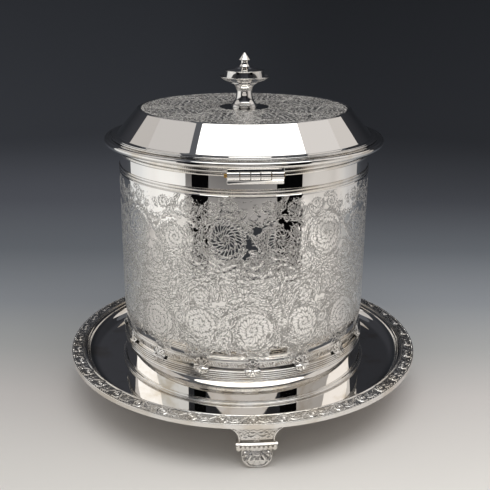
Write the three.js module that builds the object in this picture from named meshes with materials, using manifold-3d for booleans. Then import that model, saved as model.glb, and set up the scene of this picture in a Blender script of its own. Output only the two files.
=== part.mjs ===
// A silver-plated biscuit barrel: a drum with a hinged lid, on a pedestal bolted to a round tray that
// stands on three shell feet. Sizes are in millimetres and +Z is up. The origin is on the barrel's
// axis, level with the soles of the feet, and the hinge is on the -Y side.
import * as THREE from "three";
import { mergeVertices } from "three/addons/utils/BufferGeometryUtils.js";
import Module from "manifold-3d";

const wasm = await Module();
wasm.setup();

// Fineness of the solids
const ROUND_SIDES = 36;
const SMALL_SIDES = 20;
const HEXAGON_SIDES = 6;
const REED_STEPS = 2;
const CURVE_STEPS = 4;
const MERGE_DISTANCE = 1e-4;

// Clearances
const SOLDER_FILM = 0.05;
const TURNING_GAP = 0.25;
const PIN_GAP = 0.05;
const BORE_GAP = 0.15;
const LID_GAP = 0.3;
const BEZEL_GAP = 0.7;
const LIP_GAP = 0.3;

// Tray: a raised dish under a cast border
const TRAY_RADIUS = 115;
const BORDER_WIDTH = 8.6;
const BORDER_RISE = 1.06;
const BORDER_SHEET = 1.2;
const LIP_SHEET = 1.1;
const LIP_DROP = 2.9;
const DISH_SHEET = 1.2;
const TRAY_DEPTH = 8;
const FLOOR_CLEARANCE = 20.2;
const WALL_STEPS = 2;
const WALL_STEP_RUN = 0.7;
const WALL_STEP_DROP = 0.8;
const WALL_RUN = 2.4;
const WALL_CURVE = 1.2;

// Feet: cast brackets, each a plate, a bar and a scallop shell
const FEET = ["foot_hinge_side", "foot_right", "foot_left"];
const FOOT_RECESS = 1.5;
const PLATE_THICKNESS = 4.8;
const WING_HALF = 20.5;
const NECK_HALF = 10.4;
const NECK_HEIGHT = 16;
const BAR_HALF = 12.3;
const BAR_TOP = 15.3;
const BAR_BOTTOM = 13.6;
const BAR_PROUD = 1.2;
const SCALLOP_HALF = 11.4;
const SCALLOP_BOTTOM = 10;
const SHELL_HALF = 8.8;
const SHELL_PROUD = 2.6;
const SHELL_DEPTH = 8;
const SOLE_CUT = 0.5;

// Body: a drum drawn in at the waist and stepped in at the neck
const BODY_RADIUS = 78.8;
const BODY_SHEET = 1;
const BODY_HEIGHT = 120.65;
const WAIST_INSET = 1.8;
const WAIST_CURVE = 14;
const NECK_INSET = 0.55;
const COLLAR_HEIGHT = 13.4;
const BOTTOM_RAISE = 2.9;
const BOTTOM_SHEET = 1.2;

// Pedestal under the body
const PEDESTAL_HEIGHT = 20;
const PEDESTAL_SPREAD = 0.8;
const PEDESTAL_SHEET = 1.2;
const PEDESTAL_SHOULDER = 4.5;
const PEDESTAL_SEAT_WIDTH = 7;

// Applied wires, which are half round or reeded
const BASE_WIRE_WIDTH = 1.7;
const BASE_WIRE_HEIGHT = 1.3;
const MILLED_RING_HEIGHT = 5.2;
const MILLED_RING_REEDS = 3;
const MILLED_RING_PROUD = 2.4;
const MILLED_RING_BELOW = 3.5;
const WAIST_BAND_HEIGHT = 5.6;
const WAIST_BAND_PROUD = 0.95;
const SHOULDER_WIRE_HEIGHT = 3.5;
const SHOULDER_WIRE_PROUD = 0.6;
const MOUTH_WIRE_HEIGHT = 1.8;
const MOUTH_WIRE_PROUD = 0.6;
const ROSETTES = 16;
const ROSETTE_PROUD = 1.5;
const ROSETTE_SIDES = 8;

// Lid: a domed cover over a flared collar
const RIM_OVERHANG = 8.6;
const RIM_WIRE_WIDTH = 0.75;
const RIM_WIRE_HEIGHT = 2.4;
const RIM_WIRE_LIFT = 0.7;
const RIM_RISE = 0.8;
const LEDGE_WIDTH = 5;
const DRUM_RISE = 1.55;
const OVOLO_WIDTH = 5.4;
const OVOLO_RISE = 2.7;
const CONE_WIDTH = 10.5;
const CONE_RISE = 12.4;
const COVER_SHEET = 1;
const COLLAR_SHEET = 1;
const COLLAR_STRAIGHT = 2.1;
const COLLAR_RISE = 4.7;
const COLLAR_TUCK = 1.1;
const CROWN_WIRE_WIDTH = 0.95;
const CROWN_WIRE_HEIGHT = 1.2;
const BEZEL_SHEET = 0.8;
const BEZEL_DEPTH = 4;
const BEZEL_HEIGHT = 6.3;
const BEZEL_STRAIGHT = 4.3;
const BEZEL_JOGGLE = 0.7;

// Knob, with its heights above the top of the lid
const KNOB_BASE_RADIUS = 7.8;
const KNOB_BASE_HEIGHT = 1.2;
const KNOB_FLARE_RADIUS = 6.1;
const KNOB_FLARE_HEIGHT = 2.9;
const KNOB_WAIST_RADIUS = 4.9;
const KNOB_WAIST_HEIGHT = 9.9;
const KNOB_SEAT_RADIUS = 8.6;
const KNOB_SEAT_HEIGHT = 15.2;
const SAUCER_RADIUS = 14.9;
const SAUCER_HEIGHT = 3;
const SAUCER_SHEET = 1.6;
const CUP_FOOT_RADIUS = 12.3;
const CUP_RADIUS = 11.4;
const CUP_HEIGHT = 6.3;
const CUP_CONE_RISE = 1.5;
const TIP_RADIUS = 3.7;
const TIP_SHOULDER_RADIUS = 2.59;
const TIP_NECK_RADIUS = 2.2;
const TIP_HEIGHT = 8.3;
const ROD_RADIUS = 1.5;
const ROD_END = 2;

// Hinge: two leaves, five knuckles and a pin
const KNUCKLE_WIDTHS = [7, 5.8, 5.4, 5.8, 7];
const KNUCKLE_RADIUS = 2.75;
const KNUCKLE_BORE = 1.15;
const PIN_TAIL = 1.4;
const PIN_POINT = 0.4;
const HINGE_STANDOFF = 5.2;
const LEAF_HALF_HEIGHT = 4.6;
const LEAF_FRONT = 1.6;
const LEAF_DEPTH = 8;

// Fasteners under the tray and under the lid
const STUD_RADIUS = 2.5;
const STUD_FLANGE_RADIUS = 9;
const STUD_FLANGE_HEIGHT = 1.2;
const STUD_END = 1.5;
const STAND_WASHER_RADIUS = 10;
const STAND_NUT_RADIUS = 6.4;
const STAND_NUT_HEIGHT = 4;
const KNOB_WASHER_RADIUS = 7;
const KNOB_NUT_RADIUS = 4.4;
const KNOB_NUT_HEIGHT = 3;
const WASHER_HEIGHT = 1.2;

// Levels and radii that follow from the sizes above
const trayFloor = FLOOR_CLEARANCE + DISH_SHEET;
const borderEdge = trayFloor + TRAY_DEPTH;
const pedestalTop = trayFloor + SOLDER_FILM + PEDESTAL_HEIGHT;
const bodyBase = pedestalTop + SOLDER_FILM;
const mouth = bodyBase + BODY_HEIGHT;
const bodyRim = mouth - LID_GAP / 2;
const lidBase = mouth + LID_GAP / 2;
const waistRadius = BODY_RADIUS - WAIST_INSET;
const neckRadius = BODY_RADIUS - NECK_INSET;
const shoulder = mouth - COLLAR_HEIGHT;
const collarTop = mouth + COLLAR_RISE;
const rimTop = collarTop + COLLAR_SHEET + SOLDER_FILM + COVER_SHEET;
const rimRadius = BODY_RADIUS + RIM_OVERHANG;
const drumRadius = rimRadius - LEDGE_WIDTH;
const ledge = rimTop + RIM_RISE;
const drumTop = ledge + DRUM_RISE;
const coneFoot = drumRadius - OVOLO_WIDTH;
const coneBase = drumTop + OVOLO_RISE;
const lidTop = coneBase + CONE_RISE;
const hingeRadius = BODY_RADIUS + HINGE_STANDOFF;

// Closed solid of an outline of [radius, height] points turned about the Z axis. An outline starts
// and ends on the axis, or else its last point is joined to its first.
function turned(outline, sides = ROUND_SIDES) {
  const points = outline.map(([radius, height]) => new THREE.Vector2(radius, height));
  if (THREE.ShapeUtils.area(points) < 0) points.reverse();
  const onAxis = points[0].x === 0 && points.at(-1).x === 0;
  if (!onAxis) points.push(points[0].clone());
  const geometry = new THREE.LatheGeometry(points, sides);
  geometry.rotateX(Math.PI / 2);
  return geometry;
}

// The line moved to its left by a distance, with mitred corners.
function beside(line, distance) {
  const lefts = line.slice(1).map(([x, y], i) => {
    const [dx, dy] = [x - line[i][0], y - line[i][1]];
    const length = Math.hypot(dx, dy);
    return [-dy / length, dx / length];
  });
  return line.map(([x, y], i) => {
    const before = lefts[Math.max(i - 1, 0)];
    const after = lefts[Math.min(i, lefts.length - 1)];
    const share = distance / (1 + before[0] * after[0] + before[1] * after[1]);
    return [x + share * (before[0] + after[0]), y + share * (before[1] + after[1])];
  });
}

// Outline of a sheet that has the face on its right-hand side, as one walks along the face.
function sheet(face, thickness) {
  return [...face, ...beside(face, thickness).reverse()];
}

// Points of a quarter ellipse about a centre, from one angle to another in degrees.
function arc(x, y, width, height, from, to, steps = CURVE_STEPS) {
  return Array.from({ length: steps + 1 }, (_, i) => {
    const angle = THREE.MathUtils.degToRad(from + ((to - from) * i) / steps);
    return [x + width * Math.cos(angle), y + height * Math.sin(angle)];
  });
}

// Outline of a wire with a flat back and one or more rounded reeds on its outer side.
function reeded(back, front, low, high, reeds = 1) {
  const pitch = (high - low) / reeds;
  const root = front - Math.min(pitch / 2, (front - back) / 2);
  const points = [[back, low]];
  for (let i = 0; i <= reeds * REED_STEPS; i++) {
    const swell = Math.abs(Math.sin((Math.PI * i) / REED_STEPS));
    points.push([root + (front - root) * swell, low + (pitch * i) / REED_STEPS]);
  }
  points.push([back, high]);
  return points;
}

// Prism of an outline in the XZ plane, from y = near to y = far, with near the larger.
function prism(outline, near, far) {
  const shape = new THREE.Shape(outline.map(([x, z]) => new THREE.Vector2(x, z)));
  const geometry = new THREE.ExtrudeGeometry(shape, { depth: near - far, bevelEnabled: false });
  geometry.rotateX(Math.PI / 2);
  geometry.translate(0, near, 0);
  return geometry;
}

// Closed solid of an outline of [y, z] points, from one x to another.
function bar(outline, left, right) {
  const shape = new THREE.Shape(outline.map(([y, z]) => new THREE.Vector2(y, z)));
  const geometry = new THREE.ExtrudeGeometry(shape, { depth: right - left, bevelEnabled: false });
  geometry.rotateZ(Math.PI / 2);
  geometry.rotateY(Math.PI / 2);
  geometry.translate(left, 0, 0);
  return geometry;
}

// Cylinder along X about the hinge's axis.
function roller(radius, left, right) {
  const geometry = new THREE.CylinderGeometry(radius, radius, right - left, SMALL_SIDES);
  geometry.rotateZ(Math.PI / 2);
  geometry.translate((left + right) / 2, -hingeRadius, mouth);
  return geometry;
}

function solidOf(geometry) {
  geometry.deleteAttribute("normal");
  geometry.deleteAttribute("uv");
  const merged = mergeVertices(geometry, MERGE_DISTANCE);
  const vertProperties = merged.getAttribute("position").array;
  const triVerts = new Uint32Array(merged.index.array);
  return new wasm.Manifold(new wasm.Mesh({ numProp: 3, vertProperties, triVerts }));
}

function geometryOf(solid) {
  const mesh = solid.getMesh();
  const geometry = new THREE.BufferGeometry();
  geometry.setAttribute("position", new THREE.BufferAttribute(mesh.vertProperties, 3));
  geometry.setIndex(new THREE.BufferAttribute(mesh.triVerts, 1));
  geometry.computeVertexNormals();
  return geometry;
}

const silver = () => new THREE.MeshStandardMaterial({ color: 0xd9d6d0, roughness: 0.12, metalness: 1 });
const chased = () => new THREE.MeshStandardMaterial({ color: 0xc9c5be, roughness: 0.3, metalness: 1 });
const brass = () => new THREE.MeshStandardMaterial({ color: 0xc8a15a, roughness: 0.3, metalness: 1 });

function piece(name, geometry, material = silver()) {
  const mesh = new THREE.Mesh(geometry, material);
  mesh.name = name;
  return mesh;
}

// Tray
const borderTop = (radius) => borderEdge + (BORDER_RISE * (TRAY_RADIUS - radius)) / BORDER_WIDTH;
const borderInner = TRAY_RADIUS - BORDER_WIDTH;
const lipInner = TRAY_RADIUS - LIP_SHEET;
const insideLip = lipInner - LIP_GAP;

function borderOutline() {
  return [
    [borderInner, borderTop(borderInner)],
    [TRAY_RADIUS, borderEdge],
    [TRAY_RADIUS, borderEdge - LIP_DROP],
    [lipInner, borderEdge - LIP_DROP],
    [lipInner, borderTop(lipInner) - BORDER_SHEET],
    [borderInner, borderTop(borderInner) - BORDER_SHEET],
  ];
}

function dishFace() {
  const flange = (radius) => [radius, borderTop(radius) - BORDER_SHEET - SOLDER_FILM];
  const wallTop = borderInner - WALL_STEP_RUN;
  const face = [flange(insideLip), flange(wallTop)];
  for (let i = 0; i < WALL_STEPS; i++) {
    const [radius, height] = face.at(-1);
    face.push([radius, height - WALL_STEP_DROP]);
    face.push([radius - WALL_STEP_RUN, height - WALL_STEP_DROP]);
  }
  const wallFoot = face.at(-1)[0] - WALL_RUN;
  face.push([wallFoot + WALL_CURVE / 2, trayFloor + WALL_CURVE]);
  face.push([wallFoot - WALL_CURVE / 2, trayFloor]);
  face.push([STUD_RADIUS + BORE_GAP, trayFloor]);
  return face;
}

// Feet
const plateTop = borderEdge - BORDER_SHEET - SOLDER_FILM - DISH_SHEET - SOLDER_FILM;

function footSide() {
  const neck = insideLip - FOOT_RECESS * 2;
  const back = insideLip - PLATE_THICKNESS;
  const toe = neck + SHELL_PROUD;
  return [
    [insideLip, plateTop],
    [insideLip - FOOT_RECESS, (plateTop + NECK_HEIGHT) / 2],
    [neck, NECK_HEIGHT],
    [neck, BAR_TOP],
    [neck + BAR_PROUD, (2 * BAR_TOP + BAR_BOTTOM) / 3],
    [neck + BAR_PROUD, (BAR_TOP + 2 * BAR_BOTTOM) / 3],
    [neck, BAR_BOTTOM],
    [neck, SCALLOP_BOTTOM],
    [toe, SCALLOP_BOTTOM / 2],
    [toe - SHELL_PROUD / 2, 0],
    [toe - SHELL_DEPTH, 0],
    [neck - PLATE_THICKNESS, SCALLOP_BOTTOM],
    [neck - PLATE_THICKNESS, NECK_HEIGHT],
    [back, plateTop],
  ];
}

function footFront() {
  const shellCentre = SHELL_HALF - SOLE_CUT;
  const soleAngle = THREE.MathUtils.radToDeg(Math.asin(shellCentre / SHELL_HALF));
  const half = [
    ...arc(WING_HALF, NECK_HEIGHT, WING_HALF - NECK_HALF, plateTop - NECK_HEIGHT, 90, 180),
    [NECK_HALF, BAR_TOP],
    [BAR_HALF, BAR_TOP],
    [BAR_HALF, BAR_BOTTOM],
    [SCALLOP_HALF, BAR_BOTTOM],
    [SCALLOP_HALF, (SCALLOP_BOTTOM + BAR_BOTTOM) / 2],
    [SHELL_HALF, SCALLOP_BOTTOM],
    ...arc(0, shellCentre, SHELL_HALF, SHELL_HALF, 0, -soleAngle, 2 * CURVE_STEPS),
  ];
  const mirrored = half.map(([x, z]) => [-x, z]).reverse();
  return [...half, ...mirrored];
}

function foot() {
  const ring = solidOf(turned(footSide()));
  const near = -(insideLip - 2 * SHELL_DEPTH - PLATE_THICKNESS);
  const outline = solidOf(prism(footFront(), near, -TRAY_RADIUS));
  return geometryOf(ring.intersect(outline));
}

// Pedestal and body
const pedestalRadius = BODY_RADIUS + PEDESTAL_SPREAD;
const ringBase = pedestalTop - MILLED_RING_BELOW;
const ringTop = ringBase + MILLED_RING_HEIGHT;

function pedestalFace() {
  const shoulderRadius = BODY_RADIUS - SOLDER_FILM;
  return [
    [pedestalRadius, trayFloor + SOLDER_FILM],
    [pedestalRadius, trayFloor + SOLDER_FILM + BASE_WIRE_HEIGHT],
    [(pedestalRadius + shoulderRadius) / 2, trayFloor + PEDESTAL_SHOULDER],
    ...arc(
      waistRadius,
      ringBase - PEDESTAL_SHOULDER,
      shoulderRadius - waistRadius,
      PEDESTAL_SHOULDER,
      0,
      90,
    ),
    [waistRadius, pedestalTop],
    [waistRadius - PEDESTAL_SEAT_WIDTH, pedestalTop],
  ];
}

function bodyFace() {
  const bandTop = ringTop + WAIST_BAND_HEIGHT;
  return [
    [waistRadius, bodyBase],
    [waistRadius, bandTop],
    [BODY_RADIUS - WAIST_INSET / 2, bandTop + WAIST_CURVE / 3],
    [BODY_RADIUS - WAIST_INSET / 8, bandTop + (2 * WAIST_CURVE) / 3],
    [BODY_RADIUS, bandTop + WAIST_CURVE],
    [BODY_RADIUS, shoulder],
    [neckRadius, shoulder + NECK_INSET],
    [neckRadius, bodyRim],
  ];
}

function bottomFace() {
  const radius = waistRadius - BODY_SHEET - SOLDER_FILM;
  const top = bodyBase + BOTTOM_RAISE;
  return [
    [radius, bodyBase + SOLDER_FILM],
    [radius, top],
    [0, top],
  ];
}

// Waist band with a rosette in line with the hinge and the others evenly round the body
function waistBand() {
  const low = ringTop + SOLDER_FILM;
  const high = ringTop + WAIST_BAND_HEIGHT;
  const back = waistRadius + SOLDER_FILM;
  const front = waistRadius + WAIST_BAND_PROUD;
  let band = solidOf(turned(reeded(back, front, low, high, 2)));
  for (let i = 0; i < ROSETTES; i++) {
    const rosette = new THREE.CylinderGeometry(
      (high - low) / 4,
      (high - low) / 2,
      ROSETTE_PROUD,
      ROSETTE_SIDES,
    );
    rosette.rotateZ(Math.PI);
    const stand = back + SOLDER_FILM + ROSETTE_PROUD / 2;
    rosette.translate(0, -stand, (low + high) / 2);
    rosette.rotateZ((2 * Math.PI * i) / ROSETTES);
    band = band.add(solidOf(rosette));
  }
  return geometryOf(band);
}

// Lid
function coverFace() {
  return [
    [rimRadius - RIM_WIRE_WIDTH - SOLDER_FILM, rimTop],
    [drumRadius, ledge],
    ...arc(coneFoot, drumTop, OVOLO_WIDTH, OVOLO_RISE, 0, 90),
    [coneFoot - CONE_WIDTH, lidTop],
    [ROD_RADIUS + BORE_GAP, lidTop],
  ];
}

function collarFace() {
  const flangeEnd = rimRadius - RIM_WIRE_WIDTH - COLLAR_TUCK;
  const straightTop = mouth + COLLAR_STRAIGHT;
  const flare = arc(
    flangeEnd,
    straightTop,
    flangeEnd - neckRadius,
    collarTop - straightTop,
    180,
    90,
  );
  return [[neckRadius, lidBase], ...flare];
}

function bezelFace() {
  const outer = neckRadius - COLLAR_SHEET - SOLDER_FILM;
  const radius = neckRadius - BODY_SHEET - BEZEL_GAP;
  const low = mouth - BEZEL_DEPTH;
  return [
    [radius, low],
    [radius, low + BEZEL_STRAIGHT],
    [outer, low + BEZEL_STRAIGHT + BEZEL_JOGGLE],
    [outer, low + BEZEL_HEIGHT],
  ];
}

// Knob
const stemBase = lidTop + SOLDER_FILM;
const seat = lidTop + KNOB_SEAT_HEIGHT;
const rodBore = ROD_RADIUS + BORE_GAP;
const saucerBase = seat + SOLDER_FILM;
const cupBase = saucerBase + SAUCER_SHEET + SOLDER_FILM;
const cupRim = cupBase + CUP_HEIGHT;
const tipBase = cupRim + CUP_CONE_RISE + SOLDER_FILM;
const knobWasherTop = lidTop - COVER_SHEET - SOLDER_FILM;
const knobNutTop = knobWasherTop - WASHER_HEIGHT - SOLDER_FILM;
const rodEnd = knobNutTop - KNOB_NUT_HEIGHT - ROD_END;

function stemOutline() {
  return [
    [rodBore, stemBase],
    [KNOB_BASE_RADIUS, stemBase],
    [KNOB_BASE_RADIUS, stemBase + KNOB_BASE_HEIGHT],
    [KNOB_FLARE_RADIUS, lidTop + KNOB_FLARE_HEIGHT],
    [KNOB_WAIST_RADIUS, lidTop + KNOB_WAIST_HEIGHT],
    ...arc(
      KNOB_SEAT_RADIUS,
      lidTop + KNOB_WAIST_HEIGHT,
      KNOB_SEAT_RADIUS - KNOB_WAIST_RADIUS,
      KNOB_SEAT_HEIGHT - KNOB_WAIST_HEIGHT,
      180,
      90,
    ).slice(1),
    [rodBore, seat],
  ];
}

function saucerOutline() {
  const lipTop = saucerBase + SAUCER_HEIGHT;
  return [
    [rodBore, saucerBase],
    [KNOB_SEAT_RADIUS, saucerBase],
    [(KNOB_SEAT_RADIUS + 2 * SAUCER_RADIUS) / 3, saucerBase + SAUCER_HEIGHT / 3],
    [SAUCER_RADIUS, lipTop],
    [SAUCER_RADIUS - SAUCER_SHEET / 2, lipTop],
    [CUP_FOOT_RADIUS + SAUCER_SHEET / 2, saucerBase + SAUCER_SHEET],
    [rodBore, saucerBase + SAUCER_SHEET],
  ];
}

function cupOutline() {
  return [
    [rodBore, cupBase],
    [CUP_FOOT_RADIUS, cupBase],
    [(CUP_FOOT_RADIUS + 3 * CUP_RADIUS) / 4, cupBase + CUP_HEIGHT / 2],
    [CUP_RADIUS, cupRim],
    [TIP_NECK_RADIUS, cupRim + CUP_CONE_RISE],
    [rodBore, cupRim + CUP_CONE_RISE],
  ];
}

function tipOutline() {
  const neckTop = tipBase + TIP_HEIGHT / 4;
  return [
    [0, rodEnd],
    [ROD_RADIUS, rodEnd],
    [ROD_RADIUS, tipBase],
    [TIP_NECK_RADIUS, tipBase],
    [TIP_NECK_RADIUS, neckTop],
    [TIP_RADIUS, tipBase + TIP_HEIGHT / 2],
    [TIP_SHOULDER_RADIUS, tipBase + (3 * TIP_HEIGHT) / 4],
    [0, tipBase + TIP_HEIGHT],
  ];
}

// Hinge. Its leaves are cut to the wall, the lid and each other's knuckles.
const hingeWidth = KNUCKLE_WIDTHS.reduce((sum, width) => sum + width, 0);
const wireRadius = neckRadius + MOUTH_WIRE_PROUD;

function knuckleSpans() {
  let left = -hingeWidth / 2;
  return KNUCKLE_WIDTHS.map((width) => {
    const span = [left + TURNING_GAP / 2, left + width - TURNING_GAP / 2];
    left += width;
    return span;
  });
}

// A leaf lies below the axis (side -1) or above it (side 1) and holds every second knuckle.
function leaf(side, firstKnuckle, cutter) {
  const spans = knuckleSpans();
  const front = -hingeRadius - LEAF_FRONT;
  const near = mouth + side * LID_GAP;
  const far = mouth + side * LEAF_HALF_HEIGHT;
  const outline = [
    [front, near],
    [front, far],
    [front + LEAF_DEPTH, far],
    [front + LEAF_DEPTH, near],
  ];
  if (side > 0) outline.reverse();
  let solid = solidOf(bar(outline, spans[0][0], spans.at(-1)[1]));
  spans.forEach(([left, right], i) => {
    const own = i % 2 === firstKnuckle;
    const radius = own ? KNUCKLE_RADIUS : KNUCKLE_RADIUS + TURNING_GAP;
    const reach = own ? 0 : TURNING_GAP;
    const knuckle = solidOf(roller(radius, left - reach, right + reach));
    solid = own ? solid.add(knuckle) : solid.subtract(knuckle);
  });
  solid = solid.subtract(solidOf(roller(KNUCKLE_BORE, -hingeWidth, hingeWidth)));
  return geometryOf(solid.subtract(cutter));
}

// What the leaves are soldered to, with the wires and the lid's flare, grown by the solder film
function wallCutter() {
  const wall = wireRadius + SOLDER_FILM;
  const flareTop = collarTop - SOLDER_FILM;
  const drum = turned([
    [0, shoulder],
    [wall, shoulder],
    [wall, mouth + COLLAR_STRAIGHT],
    [0, mouth + COLLAR_STRAIGHT],
  ]);
  const flare = turned([
    [0, lidBase],
    ...beside(collarFace(), -SOLDER_FILM),
    [rimRadius, flareTop],
    [rimRadius, rimTop],
    [0, rimTop],
  ]);
  return solidOf(drum).add(solidOf(flare));
}

function hingePin() {
  const radius = KNUCKLE_BORE - PIN_GAP;
  const [left, right] = [-hingeWidth / 2 - PIN_TAIL, hingeWidth / 2 + PIN_POINT];
  return roller(radius, left, right);
}

// Fasteners
function washer(radius, bore, top) {
  return turned(
    [
      [bore, top],
      [radius, top],
      [radius, top - WASHER_HEIGHT],
      [bore, top - WASHER_HEIGHT],
    ],
    SMALL_SIDES,
  );
}

function nut(radius, height, bore, top) {
  const hexagon = new THREE.CylinderGeometry(radius, radius, height, HEXAGON_SIDES);
  const hole = new THREE.CylinderGeometry(bore, bore, 2 * height, SMALL_SIDES);
  const geometry = geometryOf(solidOf(hexagon).subtract(solidOf(hole)));
  geometry.rotateX(Math.PI / 2);
  geometry.translate(0, 0, top - height / 2);
  return geometry;
}

function studOutline() {
  const flangeTop = bodyBase + BOTTOM_RAISE - BOTTOM_SHEET - SOLDER_FILM;
  const end = standNutTop - STAND_NUT_HEIGHT - STUD_END;
  return [
    [0, flangeTop],
    [STUD_FLANGE_RADIUS, flangeTop],
    [STUD_FLANGE_RADIUS, flangeTop - STUD_FLANGE_HEIGHT],
    [STUD_RADIUS, flangeTop - STUD_FLANGE_HEIGHT],
    [STUD_RADIUS, end],
    [0, end],
  ];
}

const standWasherTop = FLOOR_CLEARANCE - SOLDER_FILM;
const standNutTop = standWasherTop - WASHER_HEIGHT - SOLDER_FILM;
const studBore = STUD_RADIUS + BORE_GAP;

// The tray and everything fixed to it
const stand = new THREE.Group();
stand.add(piece("tray_dish", turned(sheet(dishFace(), DISH_SHEET))));
stand.add(piece("tray_border", turned(borderOutline()), chased()));
FEET.forEach((name, i) => {
  const bracket = piece(name, foot(), chased());
  bracket.rotation.z = (2 * Math.PI * i) / FEET.length;
  stand.add(bracket);
});
stand.add(piece("stand_washer", washer(STAND_WASHER_RADIUS, studBore, standWasherTop), brass()));
stand.add(piece("stand_nut", nut(STAND_NUT_RADIUS, STAND_NUT_HEIGHT, studBore, standNutTop), brass()));

const baseWireLow = trayFloor + SOLDER_FILM;
const baseWireBack = pedestalRadius + SOLDER_FILM;
const baseWire = reeded(
  baseWireBack,
  baseWireBack + BASE_WIRE_WIDTH,
  baseWireLow,
  baseWireLow + BASE_WIRE_HEIGHT,
);
stand.add(piece("pedestal", turned(sheet(pedestalFace(), PEDESTAL_SHEET))));
stand.add(piece("base_wire", turned(baseWire)));

// The body and everything fixed to it
const ringBack = waistRadius + SOLDER_FILM;
const ringFront = waistRadius + MILLED_RING_PROUD;
const milledRing = reeded(ringBack, ringFront, ringBase, ringTop, MILLED_RING_REEDS);
const wireBack = neckRadius + SOLDER_FILM;
const shoulderLow = shoulder + NECK_INSET + SOLDER_FILM;
const shoulderFront = neckRadius + SHOULDER_WIRE_PROUD;
const shoulderWire = reeded(
  wireBack,
  shoulderFront,
  shoulderLow,
  shoulderLow + SHOULDER_WIRE_HEIGHT,
  2,
);
const mouthWire = reeded(wireBack, wireRadius, bodyRim - MOUTH_WIRE_HEIGHT, bodyRim);
const body = new THREE.Group();
body.add(piece("milled_ring", turned(milledRing)));
body.add(piece("waist_band", waistBand(), chased()));
body.add(piece("body_shell", turned(sheet(bodyFace(), BODY_SHEET)), chased()));
body.add(piece("body_bottom", turned(sheet(bottomFace(), BOTTOM_SHEET))));
body.add(piece("stand_stud", turned(studOutline(), SMALL_SIDES), brass()));
body.add(piece("shoulder_wire", turned(shoulderWire)));
body.add(piece("mouth_wire", turned(mouthWire)));
body.add(piece("hinge_body_leaf", leaf(-1, 0, wallCutter())));
body.add(piece("hinge_pin", hingePin(), brass()));

// The lid and everything fixed to it
const rimBack = rimRadius - RIM_WIRE_WIDTH;
const rimWireTop = rimTop + RIM_WIRE_LIFT;
const rimWire = reeded(rimBack, rimRadius, rimWireTop - RIM_WIRE_HEIGHT, rimWireTop);
const crownBack = drumRadius + SOLDER_FILM;
const crownLow = ledge + SOLDER_FILM;
const crownWire = reeded(
  crownBack,
  crownBack + CROWN_WIRE_WIDTH,
  crownLow,
  crownLow + CROWN_WIRE_HEIGHT,
);
const lidMouthWire = reeded(wireBack, wireRadius, lidBase, lidBase + MOUTH_WIRE_HEIGHT);
const lid = new THREE.Group();
lid.add(piece("lid_cover", turned(sheet(coverFace(), COVER_SHEET)), chased()));
lid.add(piece("lid_collar", turned(sheet(collarFace(), COLLAR_SHEET))));
lid.add(piece("lid_bezel", turned(sheet(bezelFace(), BEZEL_SHEET))));
lid.add(piece("lid_mouth_wire", turned(lidMouthWire)));
lid.add(piece("lid_rim_wire", turned(rimWire)));
lid.add(piece("lid_crown_wire", turned(crownWire)));
lid.add(piece("hinge_lid_leaf", leaf(1, 1, wallCutter())));
lid.add(piece("knob_stem", turned(stemOutline(), SMALL_SIDES)));
lid.add(piece("knob_saucer", turned(saucerOutline(), SMALL_SIDES)));
lid.add(piece("knob_cup", turned(cupOutline(), SMALL_SIDES)));
lid.add(piece("knob_tip", turned(tipOutline(), SMALL_SIDES)));
lid.add(piece("knob_washer", washer(KNOB_WASHER_RADIUS, rodBore, knobWasherTop), brass()));
lid.add(piece("knob_nut", nut(KNOB_NUT_RADIUS, KNOB_NUT_HEIGHT, rodBore, knobNutTop), brass()));

const group = new THREE.Group();
group.add(stand, body, lid);

export default group;
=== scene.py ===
# %% [markdown]
# # A silver-plated biscuit barrel
#
# The barrel is spun and soldered sheet: a drum, a hinged lid, a pedestal and a tray on three cast feet.
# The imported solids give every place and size. This lesson dresses each of them with a finer piece in
# the silversmith's own order: turned shells first, then wires, then the chased ornament, then castings.

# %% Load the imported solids
import math
from contextlib import contextmanager

import bpy
import numpy as np
from mathutils import Matrix, Vector


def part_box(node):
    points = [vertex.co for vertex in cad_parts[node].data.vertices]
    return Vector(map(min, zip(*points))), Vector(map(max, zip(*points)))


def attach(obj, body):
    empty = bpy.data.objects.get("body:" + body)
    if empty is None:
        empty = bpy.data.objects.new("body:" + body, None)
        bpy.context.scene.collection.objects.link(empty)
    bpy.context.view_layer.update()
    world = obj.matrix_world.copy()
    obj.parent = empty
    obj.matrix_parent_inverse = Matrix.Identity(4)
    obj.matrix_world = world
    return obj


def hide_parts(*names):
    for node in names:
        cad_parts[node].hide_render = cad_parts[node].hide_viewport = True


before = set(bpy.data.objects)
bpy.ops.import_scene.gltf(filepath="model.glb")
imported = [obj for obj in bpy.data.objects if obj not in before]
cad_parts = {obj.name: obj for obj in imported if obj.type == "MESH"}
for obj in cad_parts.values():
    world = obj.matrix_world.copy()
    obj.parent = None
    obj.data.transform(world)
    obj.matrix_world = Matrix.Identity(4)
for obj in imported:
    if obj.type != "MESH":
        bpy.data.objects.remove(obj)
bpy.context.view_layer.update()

# %% [markdown]
# ## Measures
#
# Lengths are written in millimetres and turned to metres once. Radii and levels come from the boxes of
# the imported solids, so a piece always lands on the solid that it stands for.

# %% Measures read from the frame
MM = 0.001


def reach(solid):
    """Outer radius of a round solid about the barrel's axis, in millimetres."""
    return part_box(solid)[1].x / MM


def low(solid):
    """Lowest level of a solid, in millimetres."""
    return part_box(solid)[0].z / MM


def high(solid):
    """Highest level of a solid, in millimetres."""
    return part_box(solid)[1].z / MM


print("tray radius", round(reach("tray_border"), 1), "drum radius", round(reach("body_shell"), 1))

# %% [markdown]
# ## Camera
#
# The camera stands a little to the left of the hinge and looks down at the barrel. Its place, tilt and
# focal length were worked out from the ellipses of the tray, lid and drum in the photograph.

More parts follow.
